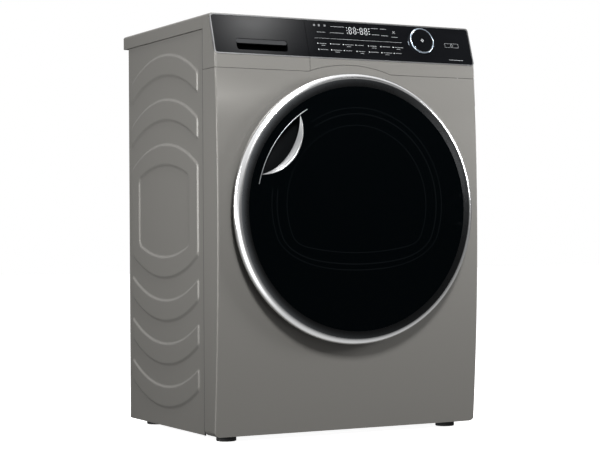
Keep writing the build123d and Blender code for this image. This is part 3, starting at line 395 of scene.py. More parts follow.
def rubber(name, colour, dusty=1.5):
    """Matt rubber, dusty on its open faces."""
    gum = Surface(name, IOR=1.5)
    dust = gum.noise(55.0, 6.0)
    gum.show("Base Color", gum.blend(dust, tint(colour, 0.8), tint(colour, dusty)))
    gum.show("Roughness", 0.62 + dust * 0.22)
    gum.show("Normal", gum.bump(gum.noise(900.0), 0.2, 0.0002))
    return gum.material


def ribbed_rubber(name, colour):
    """Belt rubber with ribs that run round it."""
    gum = Surface(name, IOR=1.5)
    ribs = (gum.axis("Y") * (2 * pi / (2.4 * MM))).sine() * 0.5 + 0.5
    gum.show("Base Color", gum.blend(ribs, tint(colour, 0.6), tint(colour, 1.3)))
    gum.show("Roughness", 0.6 + ribs * 0.1)
    gum.show("Normal", gum.bump(ribs, 0.6, 0.0006))
    return gum.material


def fine_mesh(name, colour):
    """Woven filter screen: crossed threads."""
    screen = Surface(name, IOR=1.5)
    waves = 2 * pi / (1.6 * MM)
    threads = ((screen.axis("X") * waves).sine() * (screen.axis("Z") * waves).sine()) * 0.5 + 0.5
    screen.show("Base Color", screen.blend(threads, tint(colour, 0.25), tint(colour, 1.1)))
    screen.show("Roughness", 0.65 + threads * 0.15)
    screen.show("Normal", screen.bump(threads, 0.7, 0.0004))
    return screen.material


def circuit_board(name, colour):
    """Lacquered board with paler tracks."""
    board = Surface(name, IOR=1.5)
    values = {"Vector": board.place(), "Scale": 160.0}
    tracks = board.add("ShaderNodeTexVoronoi", {"distance": "MANHATTAN"}, values)
    lit = (tracks * 1.6).clipped()
    board.show("Base Color", board.blend(lit, tint(colour, 0.5), tint(colour, 1.6)))
    board.show("Roughness", 0.3 + lit * 0.2)
    return board.material


def printed_ink(colour):
    """Pale screen-printed ink, a little uneven, with a painted glow."""
    # the emission is painted light: the ink glows though it is no lamp
    ink = Surface("printed_ink", IOR=1.45, Emission_Strength=0.22)
    grain = ink.noise(1400.0, 3.0)
    ink.show("Base Color", ink.blend(grain, tint(colour, 0.7), tint(colour, 1.1)))
    ink.show("Roughness", 0.45 + grain * 0.15)
    ink.show("Emission Color", ink.blend(grain, tint(colour, 0.7), tint(colour, 1.0)))
    return ink.material


def display_light(colour):
    """Lit segments of the display."""
    lamp = Surface("display_light", IOR=1.45, Emission_Strength=0.5)
    glow = lamp.noise(500.0, 2.0)
    lamp.show("Base Color", lamp.blend(glow, tint(colour, 0.8), tint(colour, 1.0)))
    lamp.show("Roughness", 0.4 + glow * 0.1)
    lamp.show("Emission Color", lamp.blend(glow, tint(colour, 0.75), tint(colour, 1.0)))
    return lamp.material


def studio_floor(colour):
    """Pale seamless floor that glows a little."""
    floor = Surface("studio_floor", IOR=1.3, Emission_Strength=0.95)
    cloud = floor.noise(1.2, 3.0)
    floor.show("Base Color", floor.blend(cloud, tint(colour, 0.985), tint(colour, 1.0)))
    floor.show("Roughness", 0.75 + cloud * 0.05)
    floor.show("Emission Color", floor.blend(cloud, (0.98, 0.98, 0.98, 1), (1, 1, 1, 1)))
    return floor.material


FINISHES = {}


# ---- modelling helpers
def deselect():
    if bpy.context.mode != "OBJECT":
        bpy.ops.object.mode_set(mode="OBJECT")
    bpy.ops.object.select_all(action="DESELECT")


def only(piece):
    """Makes one object the only selected and active one."""
    deselect()
    piece.select_set(True)
    bpy.context.view_layer.objects.active = piece


def settle(piece):
    """Puts a piece's place into its mesh."""
    only(piece)
    bpy.ops.object.transform_apply(location=True, rotation=True, scale=True)


def apply_all(piece):
    only(piece)
    for modifier in list(piece.modifiers):
        bpy.ops.object.modifier_apply(modifier=modifier.name)


def tidy_mesh(piece, angle, outward=True):
    """Closes seams, turns faces outwards and smooths all but sharp edges."""
    only(piece)
    bpy.ops.object.mode_set(mode="EDIT")
    bpy.ops.mesh.select_all(action="SELECT")
    bpy.ops.mesh.remove_doubles(threshold=1e-6)
    if outward:
        bpy.ops.mesh.normals_make_consistent(inside=False)
    bpy.ops.object.mode_set(mode="OBJECT")
    bpy.ops.object.shade_smooth_by_angle(angle=radians(angle))


def hand_over(piece, name, body, slot, replaces=(), finish=None):
    """Names a piece, gives it its finish, and puts it on its body."""
    piece.name = name
    piece.data.name = name
    piece.data.materials.clear()
    piece.data.materials.append(FINISHES[finish or slot])
    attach(piece, body)
    if replaces:
        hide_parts(*replaces)
    deselect()
    return piece


def select_where(piece, kind, test):
    """In edit mode, selects only the faces or edges whose middle and normal pass the test."""
    bpy.ops.mesh.select_all(action="DESELECT")
    bpy.ops.object.mode_set(mode="OBJECT")
    if kind == "FACE":
        for face in piece.data.polygons:
            face.select = test(face.center, face.normal)
    else:
        points = piece.data.vertices
        for edge in piece.data.edges:
            ends = [points[index].co for index in edge.vertices]
            edge.select = test((ends[0] + ends[1]) / 2, (ends[1] - ends[0]).normalized())
    bpy.ops.object.mode_set(mode="EDIT")
    bpy.ops.mesh.select_mode(type=kind)


def turn_profile(profile, steps, closed=False):
    """Ring turned about the Z axis from (radius, height) points, by extruding a circle."""
    deselect()
    radius, height = profile[0]
    bpy.ops.mesh.primitive_circle_add(vertices=steps, radius=radius, location=(0, 0, height))
    piece = bpy.context.object
    settle(piece)
    bpy.ops.object.mode_set(mode="EDIT")
    bpy.ops.mesh.select_all(action="SELECT")
    for next_radius, next_height in profile[1:]:
        step = (0, 0, next_height - height)
        bpy.ops.mesh.extrude_region_move(TRANSFORM_OT_translate={"value": step})
        grow = next_radius / radius
        bpy.ops.transform.resize(value=(grow, grow, 1), center_override=(0, 0, next_height))
        radius, height = next_radius, next_height
    if not closed:
        bpy.ops.mesh.edge_face_add()
        bpy.ops.mesh.select_all(action="DESELECT")
    bpy.ops.object.mode_set(mode="OBJECT")
    return piece


def cap_start(piece, height, radius):
    """Fills the first ring of a turned piece."""
    only(piece)
    bpy.ops.object.mode_set(mode="EDIT")
    bpy.ops.mesh.select_mode(type="EDGE")
    select_where(piece, "EDGE", lambda mid, way: abs(mid.z - height) < 1e-6
                 and abs(mid.xy.length - radius) < 0.02 * radius and abs(way.z) < 0.1)
    bpy.ops.mesh.edge_face_add()
    bpy.ops.object.mode_set(mode="OBJECT")


def stand_on(piece, matrix):
    """Moves a finished mesh, drawn at the origin, to its place."""
    piece.matrix_world = matrix
    settle(piece)
    return piece


def facing_front(y):
    """Matrix that puts a piece turned about Z on the door's axis, its top facing the front."""
    return Matrix.Translation((DOOR_CENTRE.x, y, DOOR_CENTRE.z)) @ Matrix.Rotation(pi / 2, 4, "X")


def mapped_grid(columns, rows, place):
    """Fine sheet whose points go where place(u, v) says, u and v from 0 to 1."""
    deselect()
    bpy.ops.mesh.primitive_grid_add(x_subdivisions=columns, y_subdivisions=rows, size=1)
    piece = bpy.context.object
    for point in piece.data.vertices:
        point.co = place(point.co.x + 0.5, point.co.y + 0.5)
    piece.data.update()
    return piece


def rod_along(points, radius, closed, sides=4):
    """Round bead along a line of points, made a mesh."""
    deselect()
    curve = bpy.data.curves.new("bead", "CURVE")
    curve.dimensions = "3D"
    curve.bevel_depth = radius
    curve.bevel_resolution = sides
    curve.use_fill_caps = True
    line = curve.splines.new("POLY")
    line.points.add(len(points) - 1)
    for point, co in zip(line.points, points):
        point.co = (*co, 1)
    line.use_cyclic_u = closed
    piece = bpy.data.objects.new("bead", curve)
    bpy.context.scene.collection.objects.link(piece)
    only(piece)
    bpy.ops.object.convert(target="MESH")
    return bpy.context.object


def polish(node, slot, angle=35.0):
    """Leaves a CAD node as it is, smooth where it is round, with the finish of its slot."""
    piece = frame["nodes"][node]
    piece.data.materials.clear()
    piece.data.materials.append(FINISHES[slot])
    for face in piece.data.polygons:
        face.use_smooth = True
    weld = piece.modifiers.new("weld", "WELD")
    weld.merge_threshold = 0.00001
    split = piece.modifiers.new("sharp", "EDGE_SPLIT")
    split.split_angle = radians(angle)


# ---- settings
def length(name, description, default):
    return FloatProperty(name=name, description=description, default=default, unit="LENGTH")


def hue(name, description, default):
    return FloatVectorProperty(name=name, description=description, default=default, subtype="COLOR")


class DryerSizes(bpy.types.PropertyGroup):
    """Sizes of the looks that the frame leaves open."""
    panel_step: length("Panel Step", "Spacing of the side panels' mesh", 1.95 * MM)
    emboss: length("Emboss", "Height of the bands pressed out of the side panels", 2.6 * MM)
    emboss_slope: length("Emboss Slope", "Width of the soft slope round each band", 5.0 * MM)
    # the dark joint is a black bead that paints the shadow in the gap
    seam_width: length("Seam Width", "Dark joint ahead of each side panel", 2.6 * MM)
    band_width: length("Band Width", "Width of the pressed bands", 48.0 * MM)
    band_half: length("Band Half Length", "Half the length of the pressed bands", 180.0 * MM)
    band_rise: length("Band Rise", "Rise of the arched bands over their ends", 49.0 * MM)
    crest_radius: length("Ring Crest Radius", "Crest of the door's silver ring", 263.0 * MM)
    round_steps: IntProperty(name="Round Steps", description="Corners in each large round piece",
                             default=256)
    mark_height: length("Mark Height", "Thickness of the printed marks", 0.12 * MM)


class DryerColours(bpy.types.PropertyGroup):
    """Colours of the finishes."""
    paint: hue("Enamel", "Metallic grey of the case", (0.172, 0.167, 0.155))
    fascia: hue("Fascia", "Black of the control panel", (0.0038, 0.0041, 0.0049))
    silver: hue("Silver", "Plated rim and trims", (0.84, 0.845, 0.85))
    knob: hue("Knob Rim", "Cool silver of the knob's rim", (0.55, 0.64, 0.74))
    bevel: hue("Bevel", "Smoked plating inside the ring", (0.16, 0.17, 0.18))
    ink: hue("Ink", "Printed marks of the console", (0.36, 0.37, 0.38))
    light: hue("Display", "Lit segments of the display", (0.85, 0.88, 0.90))


def sizes():
    return bpy.context.scene.dryer_sizes


def colours():
    return bpy.context.scene.dryer_colours


# ---- operators
class DryerFinishes(bpy.types.Operator):
    """Makes every finish of the dryer"""
    bl_idname = "dryer.finishes"
    bl_label = "Make Finishes"

    def execute(self, context):
        hues = colours()
        FINISHES.update(
            body_paint=body_paint(hues.paint),
            fascia_black=fascia_gloss(hues.fascia),
            silver_rim=bright_silver("silver_rim", hues.silver, 0.14),
            knob_ring=bright_silver("knob_ring", hues.knob, 0.18),
            dark_bevel=dark_bevel(hues.bevel),
            smoked_glass=smoked_glass(),
            bowl_glass=bowl_glass(),
            black_plastic=moulded("black_plastic", (0.012, 0.0125, 0.013), 0.42),
            cup_black=moulded("cup_black", (0.003, 0.0035, 0.004), 0.45, shine=0.06),
            grip_plastic=moulded("grip_plastic", (0.030, 0.031, 0.033), 0.26, 900.0, 0.05),
            grey_plastic=moulded("grey_plastic", (0.18, 0.18, 0.185), 0.42),
            tank_plastic=milky_plastic("tank_plastic", (0.62, 0.68, 0.70)),
            zinc_steel=spangled_zinc("zinc_steel", (0.50, 0.51, 0.52)),
            stainless=brushed_steel("stainless", (0.60, 0.60, 0.61)),
            bearing_metal=cast_metal("bearing_metal", (0.20, 0.20, 0.21)),
            rubber=rubber("rubber", (0.022, 0.022, 0.023)),
            belt_rubber=ribbed_rubber("belt_rubber", (0.03, 0.03, 0.031)),
            seal_rubber=rubber("seal_rubber", (0.13, 0.13, 0.135), 1.2),
            fin_aluminium=brushed_steel("fin_aluminium", (0.72, 0.73, 0.74), (1.0, 1.0, 0.02)),
            compressor_paint=moulded("compressor_paint", (0.016, 0.016, 0.018), 0.25, 500.0, 0.1),
            board_green=circuit_board("board_green", (0.02, 0.13, 0.06)),
            mesh_fabric=fine_mesh("mesh_fabric", (0.42, 0.42, 0.44)),
            line_silver=bright_silver("line_silver", (0.26, 0.27, 0.28), 0.30),
            # darker copy of the plated silver; on the door's crescent it paints the shade of the finger pocket
            trim_silver=bright_silver("trim_silver", (0.48, 0.485, 0.49), 0.24),
            window_bead=painted_glow_edge("window_bead", (0.30, 0.33, 0.35)),
            printed_ink=printed_ink(hues.ink),
            display_light=display_light(hues.light),
            studio_floor=studio_floor((0.93, 0.93, 0.93)),
        )
        return {"FINISHED"}


class DryerFrameNodes(bpy.types.Operator):
    """Gives every CAD node the finish of its slot"""
    bl_idname = "dryer.frame_nodes"
    bl_label = "Finish the Frame"

    def execute(self, context):
        for part in frame["record"]["subparts"]:
            polish(part["node"], part["material_slot"])
        for node in ("console_trim", "drawer_trim"):
            frame["nodes"][node].data.materials[0] = FINISHES["trim_silver"]
        frame["nodes"]["drawer_grip"].data.materials[0] = FINISHES["grip_plastic"]
        frame["nodes"]["door_handle_cup"].data.materials[0] = FINISHES["cup_black"]
        return {"FINISHED"}


def band_depth(y, z, mid, band):
    """How far a point lies inside one band of the side panel, with rounded corners."""
    top, foot, rise_top, rise_foot, half = band
    insides = [half - abs(y - mid)]
    for level, rise, sign in ((top, rise_top, 1), (foot, rise_foot, -1)):
        bow = (half ** 2 + rise ** 2) / (2 * abs(rise))
        way = 1 if rise > 0 else -1
        reach = Vector((y - mid, z - (level - way * bow))).length
        insides.append(sign * way * (bow - reach))
    short = [max(BAND_CORNER - inside, 0.0) for inside in insides]
    return BAND_CORNER - Vector(short).length


class DryerSidePanels(bpy.types.Operator):
    """Models the steel side panels with their pressed-out bands"""
    bl_idname = "dryer.side_panels"
    bl_label = "Side Panels"

    def bands(self):
        """(top, foot, rise of the top arc, rise of the foot arc, half length) of every pressed band."""
        size = sizes()
        width, rise, half = size.band_width, size.band_rise, size.band_half
        arches = [(top * MM, top * MM - width, rise, rise, half) for top in ARCH_TOPS]
        sags = [(foot * MM + width, foot * MM, -rise, -rise, half) for foot in SAG_FEET]
        return arches + sags

    def lift(self, y, z, mid, bands):
        """Share of the full emboss at a point."""
        size = sizes()
        loop = (LOOP_TOP * MM, LOOP_FOOT * MM, size.band_rise, -size.band_rise, size.band_half)
        inner_half = size.band_half - size.band_width
        hole = (loop[0] - size.band_width, loop[1] + size.band_width, size.band_rise / 2,
                -size.band_rise / 2, inner_half)
        depths = [band_depth(y, z, mid, band) for band in bands]
        depths.append(min(band_depth(y, z, mid, loop), -band_depth(y, z, mid, hole)))
        share = min(max(max(depths) / size.emboss_slope, 0.0), 1.0)
        return share * share * (3 - 2 * share)

    def execute(self, context):
        size = sizes()
        bands = self.bands()
        for side, node in ((-1, "side_panel_left"), (1, "side_panel_right")):
            low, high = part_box(node)
            low.y += size.seam_width - CAD_SEAM
            outer = low.x if side < 0 else high.x
            skin = outer - side * size.emboss
            hem = 3.0 * MM

            def place(u, v):
                y, z = low.y + u * (high.y - low.y), low.z + v * (high.z - low.z)
                roll = max(hem - min(y - low.y, high.y - y), 0.0) / hem
                lift = self.lift(y, z, BAND_MIDDLE_Y, bands) * size.emboss
                return Vector((skin + side * (lift - roll ** 3 * 0.8 * MM), y, z))

            columns = int((high.y - low.y) / size.panel_step)
            rows = int((high.z - low.z) / size.panel_step)
            panel = mapped_grid(columns, rows, place)
            only(panel)
            bpy.ops.object.mode_set(mode="EDIT")
            select_where(panel, "EDGE", lambda point, way: point.y < low.y + 1e-5 or point.y > high.y - 1e-5
                         or point.z < low.z + 1e-5 or point.z > high.z - 1e-5)
            shift = (-side * 1.0 * MM, 0, 0)
            bpy.ops.mesh.extrude_edges_move(TRANSFORM_OT_translate={"value": shift})
            bpy.ops.mesh.edge_face_add()
            bpy.ops.object.mode_set(mode="OBJECT")
            tidy_mesh(panel, 50.0)
            hand_over(panel, node + "_skin", "case", "body_paint", (node,))
            # a black rubber bead fills the widened joint ahead of the panel: a dark piece that paints the shadow
            # in the gap
            radius = size.seam_width / 2
            line = [Vector((outer - side * radius, low.y - radius, z)) for z in (low.z, high.z)]
            shadow_bead = rod_along(line, radius, False)
            tidy_mesh(shadow_bead, 50.0)
            hand_over(shadow_bead, node + "_seam", "case", "rubber")
        return {"FINISHED"}


class DryerDoorRing(bpy.types.Operator):
    """Turns the bright rim of the door and the dark bevel inside it"""
    bl_idname = "dryer.door_ring"
    bl_label = "Door Ring"

    def execute(self, context):
        size = sizes()
        crest = size.crest_radius
        outer = [(DOOR_R - 2.5 * MM, -19.0), (DOOR_R, -19.0), (DOOR_R, -15.5), (DOOR_R - 0.5 * MM, -13.4),
                 (DOOR_R - 1.8 * MM, -11.0), (DOOR_R - 3.6 * MM, -8.6), (DOOR_R - 5.8 * MM, -6.7),
                 (crest + 2.2 * MM, -5.5), (crest, -5.1), (crest - 1.6 * MM, -5.2)]
        rim = [(radius, y * MM) for radius, y in outer]
        rim += [(crest - 1.6 * MM, -8.0 * MM), (DOOR_R - 6 * MM, -11.0 * MM)]
        rim += [(DOOR_R - 2.5 * MM, -15.0 * MM)]
        bright = turn_profile(rim + rim[:1], size.round_steps, closed=True)
        tidy_mesh(bright, 40.0)
        stand_on(bright, facing_front(CROWN_Y))
        hand_over(bright, "door_rim_bright", "door", "silver_rim", ("door_ring",))
        edge = crest - 1.5 * MM
        cone = [(edge, -5.3), (edge - 3 * MM, -5.0), (edge - 8 * MM, -4.3), (GLASS_R + 0.4 * MM, -3.3),
                (GLASS_R + 0.4 * MM, -8.0), (edge, -8.0)]
        ring = [(radius, y * MM) for radius, y in cone]
        bevel = turn_profile(ring + ring[:1], size.round_steps, closed=True)
        tidy_mesh(bevel, 25.0)
        stand_on(bevel, facing_front(CROWN_Y))
        hand_over(bevel, "door_rim_bevel", "door", "silver_rim", finish="dark_bevel")
        return {"FINISHED"}


def pocket_arc(dip, share):
    """Point on the arc between the handle's tips that dips to a radius; share from -1 to 1."""
    reach = HANDLE_R * cos(HANDLE_SPAN)
    centre = (HANDLE_R ** 2 - dip ** 2) / (2 * (reach - dip))
    bow = centre - dip
    turn = asin(HANDLE_R * sin(HANDLE_SPAN) / bow) * share
    along, aside = centre - bow * cos(turn), bow * sin(turn)
    return (along * cos(HANDLE_MID) - aside * sin(HANDLE_MID),
            along * sin(HANDLE_MID) + aside * cos(HANDLE_MID))


def handle_rim(share):
    """Point on the handle's outer circle; share from -1 to 1."""
    angle = HANDLE_MID + HANDLE_SPAN * share
    return HANDLE_R * cos(angle), HANDLE_R * sin(angle)


class DryerDoorGlass(bpy.types.Operator):
    """Domes the smoked glass and cuts the handle's opening in it"""
    bl_idname = "dryer.door_glass"
    bl_label = "Door Glass"

    def execute(self, context):
        size = sizes()
        rings = 22
        thick = 3.0 * MM
        radii = [GLASS_R * (1 - 0.985 * step / rings) for step in range(rings + 1)]
        front = [(radius, CROWN_Y - glass_y(radius)) for radius in radii]
        back = (GLASS_R, CROWN_Y - glass_y(GLASS_R) - thick)
        profile = [(radii[-1], front[-1][1] - thick), back] + front
        glass = turn_profile(profile, size.round_steps)
        cap_start(glass, profile[0][1], profile[0][0])
        tidy_mesh(glass, 30.0)
        stand_on(glass, facing_front(CROWN_Y))

        steps = 48
        shares = [2 * step / steps - 1 for step in range(steps + 1)]
        outline = [handle_rim(share) for share in shares]
        outline += [pocket_arc(POCKET_DIP, -share) for share in shares[1:-1]]
        deselect()
        bpy.ops.mesh.primitive_circle_add(vertices=len(outline), radius=1, fill_type="NGON")
        cutter = bpy.context.object
        for point, (x, z) in zip(cutter.data.vertices, outline):
            point.co = (DOOR_CENTRE.x + x, CROWN_Y - 0.02, DOOR_CENTRE.z + z)
        bpy.ops.object.mode_set(mode="EDIT")
        bpy.ops.mesh.select_all(action="SELECT")
        bpy.ops.mesh.extrude_region_move(TRANSFORM_OT_translate={"value": (0, 0.06, 0)})
        bpy.ops.mesh.select_all(action="SELECT")
        bpy.ops.mesh.normals_make_consistent(inside=False)
        bpy.ops.object.mode_set(mode="OBJECT")
        cut = glass.modifiers.new("pocket", "BOOLEAN")
        cut.operation = "DIFFERENCE"
        cut.solver = "EXACT"
        cut.object = cutter
        apply_all(glass)
        bpy.data.objects.remove(cutter)
        tidy_mesh(glass, 30.0, outward=False)
        hand_over(glass, "door_glass_dome", "door", "smoked_glass", ("door_glass",))
        return {"FINISHED"}


class DryerHandle(bpy.types.Operator):
    """Models the silver crescent that lines the finger pocket, and the thin line outside it"""
    bl_idname = "dryer.handle"
    bl_label = "Door Handle"

    def execute(self, context):
        def crescent_place(u, v):
            share = 2 * u - 1
            rim_x, rim_z = pocket_arc(POCKET_DIP + 0.4 * MM, share)
            dip_x, dip_z = pocket_arc(CRESCENT_DIP, share)
            swell = cos(share * pi / 2)
            x, z = rim_x + (dip_x - rim_x) * v, rim_z + (dip_z - rim_z) * v
            front = glass_y(Vector((x, z)).length) + 0.2 * MM
            drop = (9.0 * v ** 1.5 - 0.9 * sin(pi * min(v * 2.5, 1.0))) * MM * swell
            return Vector((DOOR_CENTRE.x + x, front + drop, DOOR_CENTRE.z + z))

        crescent = mapped_grid(64, 14, crescent_place)
        wall = crescent.modifiers.new("wall", "SOLIDIFY")
        wall.thickness = 0.8 * MM
        wall.offset = 0.0
        apply_all(crescent)
        tidy_mesh(crescent, 50.0)
        # the crescent takes the darker trim silver, a shaded copy of the rim's plating that paints the pocket's
        # shade
        hand_over(crescent, "door_crescent", "door", "silver_rim", ("door_handle_crescent",),
                  "trim_silver")

        angles = [HANDLE_MID + LINE_SPAN * (step / 24 - 1) for step in range(49)]
        points = [door_point(LINE_R, angle, glass_y(LINE_R) + 0.35 * MM) for angle in angles]
        line = rod_along(points, 0.95 * MM, False)
        tidy_mesh(line, 50.0)
        hand_over(line, "door_handle_line", "door", "silver_rim", ("door_handle_trim",),
                  "line_silver")
        return {"FINISHED"}


def window_outline(inset, steps=120):
    """Points (x, z) round the window, drawn in by an inset."""
    disc = WINDOW_R - inset
    below = WINDOW_FOOT_Z + inset + WINDOW_FOOT_BOW - WINDOW_Z
    soft = WINDOW_CORNER - inset
    points = []
    for step in range(steps):
        angle = 2 * pi * step / steps
        ray = Vector((cos(angle), sin(angle)))
        along = below * ray.y
        foot = along + sqrt(along ** 2 - below ** 2 + WINDOW_FOOT_BOW ** 2)
        near = max(soft - abs(disc - foot), 0.0) / soft
        reach = min(disc, foot) - near * near * soft * 0.25
        points.append((ray.x * reach, WINDOW_Z + ray.y * reach))
    return points


class DryerWindowLines(bpy.types.Operator):
    """Lays the beads of the window bowl and its frame behind the smoked glass"""
    bl_idname = "dryer.window_lines"
    bl_label = "Window Beads"

    def behind_handle(self, point):
        """True where the finger pocket stands in front of a bead."""
        x, z = point.x - DOOR_CENTRE.x, point.z - DOOR_CENTRE.z
        turn = abs(atan2(z, x) - HANDLE_MID)
        return turn < HANDLE_SPAN + radians(4) and Vector((x, z)).length > POCKET_DIP - 8 * MM

    def execute(self, context):
        behind = CROWN_Y + 9.0 * MM
        beads = (("window_frame_bead", -9.0, 0.0, 0.9), ("window_rim_bead", 3.0, 1.5, 1.1),
                 ("window_bowl_bead", 26.0, 4.0, 0.8))
        for name, inset, depth, radius in beads:
            outline = window_outline(inset * MM)
            points = [Vector((x, behind + depth * MM, z)) for x, z in outline]
            hidden = [step for step, point in enumerate(points) if self.behind_handle(point)]
            if hidden:
                points = points[hidden[-1] + 1:] + points[:hidden[0]]
            bead = rod_along(points, radius * MM, not hidden, 3)
            tidy_mesh(bead, 60.0)
            # the beads glow with painted light, so that they show through the smoked glass
            hand_over(bead, name, "door", "bowl_glass", finish="window_bead")
        return {"FINISHED"}


class DryerKnob(bpy.types.Operator):
    """Turns the programme knob: a dark body with a thin silver rim"""
    bl_idname = "dryer.knob"
    bl_label = "Programme Knob"

    def execute(self, context):
        top = KNOB_TOP
        body = [(KNOB_BORE, 3.0 * MM), (KNOB_BORE, top - 0.9 * MM), (KNOB_R - 2.6 * MM, top - 0.35 * MM),
                (KNOB_R - 2.6 * MM, 1.0 * MM), (KNOB_BORE, 1.0 * MM), (KNOB_BORE, 3.0 * MM)]
        collar = turn_profile(body, 96, closed=True)
        tidy_mesh(collar, 30.0)
        stand_on(collar, fascia_matrix(KNOB_PLACE.x, KNOB_UP, 0.0))
        hand_over(collar, "knob_collar", "knob", "knob_ring", finish="fascia_black")
        edge = [(KNOB_LIP, 1.0 * MM), (KNOB_R, 1.0 * MM), (KNOB_R, top - 1.6 * MM),
                (KNOB_R - 0.35 * MM, top - 0.7 * MM), (KNOB_R - 1.0 * MM, top - 0.2 * MM),
                (KNOB_R - 1.7 * MM, top), (KNOB_R - 2.4 * MM, top - 0.2 * MM),
                (KNOB_LIP, top - 0.6 * MM), (KNOB_LIP, 1.0 * MM)]
        rim = turn_profile(edge, 128, closed=True)
        nib_r, nib_foot = 1.7 * MM, top - 1.5 * MM
        nib = turn_profile([(nib_r, nib_foot), (nib_r, top - 0.4 * MM), (1.3 * MM, top - 0.1 * MM)], 24)
        cap_start(nib, nib_foot, nib_r)
        stand_on(nib, Matrix.Translation((*KNOB_NIB, 0.1 * MM)))
        only(rim)
        nib.select_set(True)
        bpy.ops.object.join()
        tidy_mesh(rim, 45.0)
        stand_on(rim, fascia_matrix(KNOB_PLACE.x, KNOB_UP, 0.0))
        hand_over(rim, "knob_rim", "knob", "knob_ring", ("program_knob",))
        return {"FINISHED"}


class MarkSheet:
    """Collects small raised marks, drawn flat, and makes one mesh of them."""

    def __init__(self):
        deselect()
        bpy.ops.mesh.primitive_plane_add(size=0.001, location=(0, 0, -1))
        self.piece = bpy.context.object
        settle(self.piece)
        bpy.ops.object.mode_set(mode="EDIT")
        bpy.ops.mesh.select_all(action="SELECT")
        bpy.ops.mesh.delete(type="VERT")
        self.height = sizes().mark_height

    def place(self, x, up):
        return x * MM, up * MM, self.height / 2

    def bar(self, x, up, width, tall, turn=0.0):
        """Oblong mark, its middle at x and up in millimetres."""
        bpy.ops.mesh.primitive_cube_add(size=1, location=self.place(x, up), rotation=(0, 0, turn),
                                        scale=(width * MM, tall * MM, self.height))

    def dot(self, x, up, radius):
        bpy.ops.mesh.primitive_cylinder_add(vertices=12, radius=radius * MM, depth=self.height,
                                            location=self.place(x, up))

    def ring(self, x, up, radius, line):
        bpy.ops.mesh.primitive_torus_add(major_segments=24, minor_segments=4, major_radius=radius * MM,
                                         minor_radius=line * MM / 2, location=self.place(x, up))

    def frame_of(self, x, up, width, tall, line):
        for side in (-1, 1):
            self.bar(x + side * width / 2, up, line, tall + line)
            self.bar(x, up + side * tall / 2, width - line, line)

    def done(self, name, body, slot, finish, x=0.0, up=0.0, lift=0.0):
        bpy.ops.mesh.select_all(action="SELECT")
        bpy.ops.mesh.normals_make_consistent(inside=False)
        bpy.ops.object.mode_set(mode="OBJECT")
        stand_on(self.piece, fascia_matrix(x, up, lift))
        return hand_over(self.piece, name, body, slot, finish=finish)


# bars of a digit: across and up from its middle, in half widths and half heights, and whether it lies level
SEGMENTS = ((0, 1, True), (0, 0, True), (0, -1, True), (-1, 0.5, False), (1, 0.5, False),
            (-1, -0.5, False), (1, -0.5, False))


class DryerDisplay(bpy.types.Operator):
    """Sets the lit digits of the display on the fascia"""
    bl_idname = "dryer.display"
    bl_label = "Display Digits"

    def execute(self, context):
        marks = MarkSheet()
        half_width, half_tall, stroke = 2.8, 7.2, 0.7
        for middle in DIGIT_PLACES:
            for x, up, level in SEGMENTS:
                width = 2 * half_width - 1.9 if level else stroke
                tall = stroke if level else half_tall - 1.9
                marks.bar(middle + x * half_width, DISPLAY_UP + up * half_tall, width, tall)
        for x, up in ((30.2, 67.0), (30.2, 61.0), (4.5, 70.0), (4.5, 64.0), (4.5, 58.0)):
            marks.dot(x, up, 0.8)
        for up in (70.5, 64.5, 58.5):
            marks.bar(56.5, up, 3.0, 1.0)
        marks.done("display_digits", "case", "fascia_black", "display_light")
        return {"FINISHED"}


class DryerMarks(bpy.types.Operator):
    """Prints the plain marks, lamps and lines of the console"""
    bl_idname = "dryer.marks"
    bl_label = "Console Marks"

    def dashes(self, marks, start, end, up, tall=0.8):
        """Row of short dashes that stands for a word."""
        x = start
        lengths = (3.2, 2.1, 4.0, 2.6)
        step = 0
        while x < end:
            length = min(lengths[step % len(lengths)], end - x)
            if length > 0.6:
                marks.bar(x + length / 2, up, length, tall)
            x += length + 0.55
            step += 1

    def execute(self, context):
        marks = MarkSheet()
        for x in (-70.0, -59.0, -46.0):
            marks.frame_of(x, 72.0, 3.2, 3.2, 0.6)
            marks.bar(x, 72.0, 1.2, 1.2, pi / 4)
        for start, end, up in ((-33, -1, 71), (-66, -47, 57), (-36, -4, 57), (62, 78, 72), (84, 98, 72),
                               (62, 79, 58), (84, 100, 57)):
            self.dashes(marks, start, end, up)
        for turn in (pi / 4, -pi / 4):
            marks.bar(115.0, 66.0, 8.0, 0.7, turn)
        self.dashes(marks, 108, 123, 55)
        marks.bar(28.0, 43.5, 202.0, 0.45)
        marks.dot(130.0, 43.5, 0.5)
        for column, x in enumerate(LAMP_COLUMNS):
            for row, up in enumerate(LAMP_ROWS):
                self.dashes(marks, x + 4, x + 4 + (15, 18, 20, 14)[(column + row) % 4], up)
                if (column + row) % 2 == 0:
                    self.dashes(marks, x + 8, x + 8 + (8, 11, 9)[column % 3], up - 4.2)
        self.dashes(marks, 240, 274, 10, 0.9)
        marks.done("console_marks", "case", "fascia_black", "printed_ink")

        lamps = MarkSheet()
        for x in LAMP_COLUMNS:
            for up in LAMP_ROWS:
                lamps.dot(x, up, 1.0)
        lamps.done("programme_lamps", "case", "fascia_black", "display_light")

        key = MarkSheet()
        key.frame_of(0.0, 0.0, 33.0, 9.0, 0.38)
        key.ring(0.0, 0.0, 2.6, 0.7)
        key.bar(0.0, 2.7, 0.7, 2.2)
        key.done("power_mark", "power_key", "fascia_black", "printed_ink", POWER_X * MM,
                 POWER_UP * MM, 0.4 * MM)

        start = MarkSheet()
        for turn in range(4):
            angle = turn * pi / 2
            start.bar(2.5 * cos(angle), 2.5 * sin(angle), 1.5, 1.5, pi / 4)
        start.done("start_mark", "start_key", "fascia_black", "display_light", KNOB_PLACE.x,
                   KNOB_UP, KNOB_TOP - 0.2 * MM)
        return {"FINISHED"}


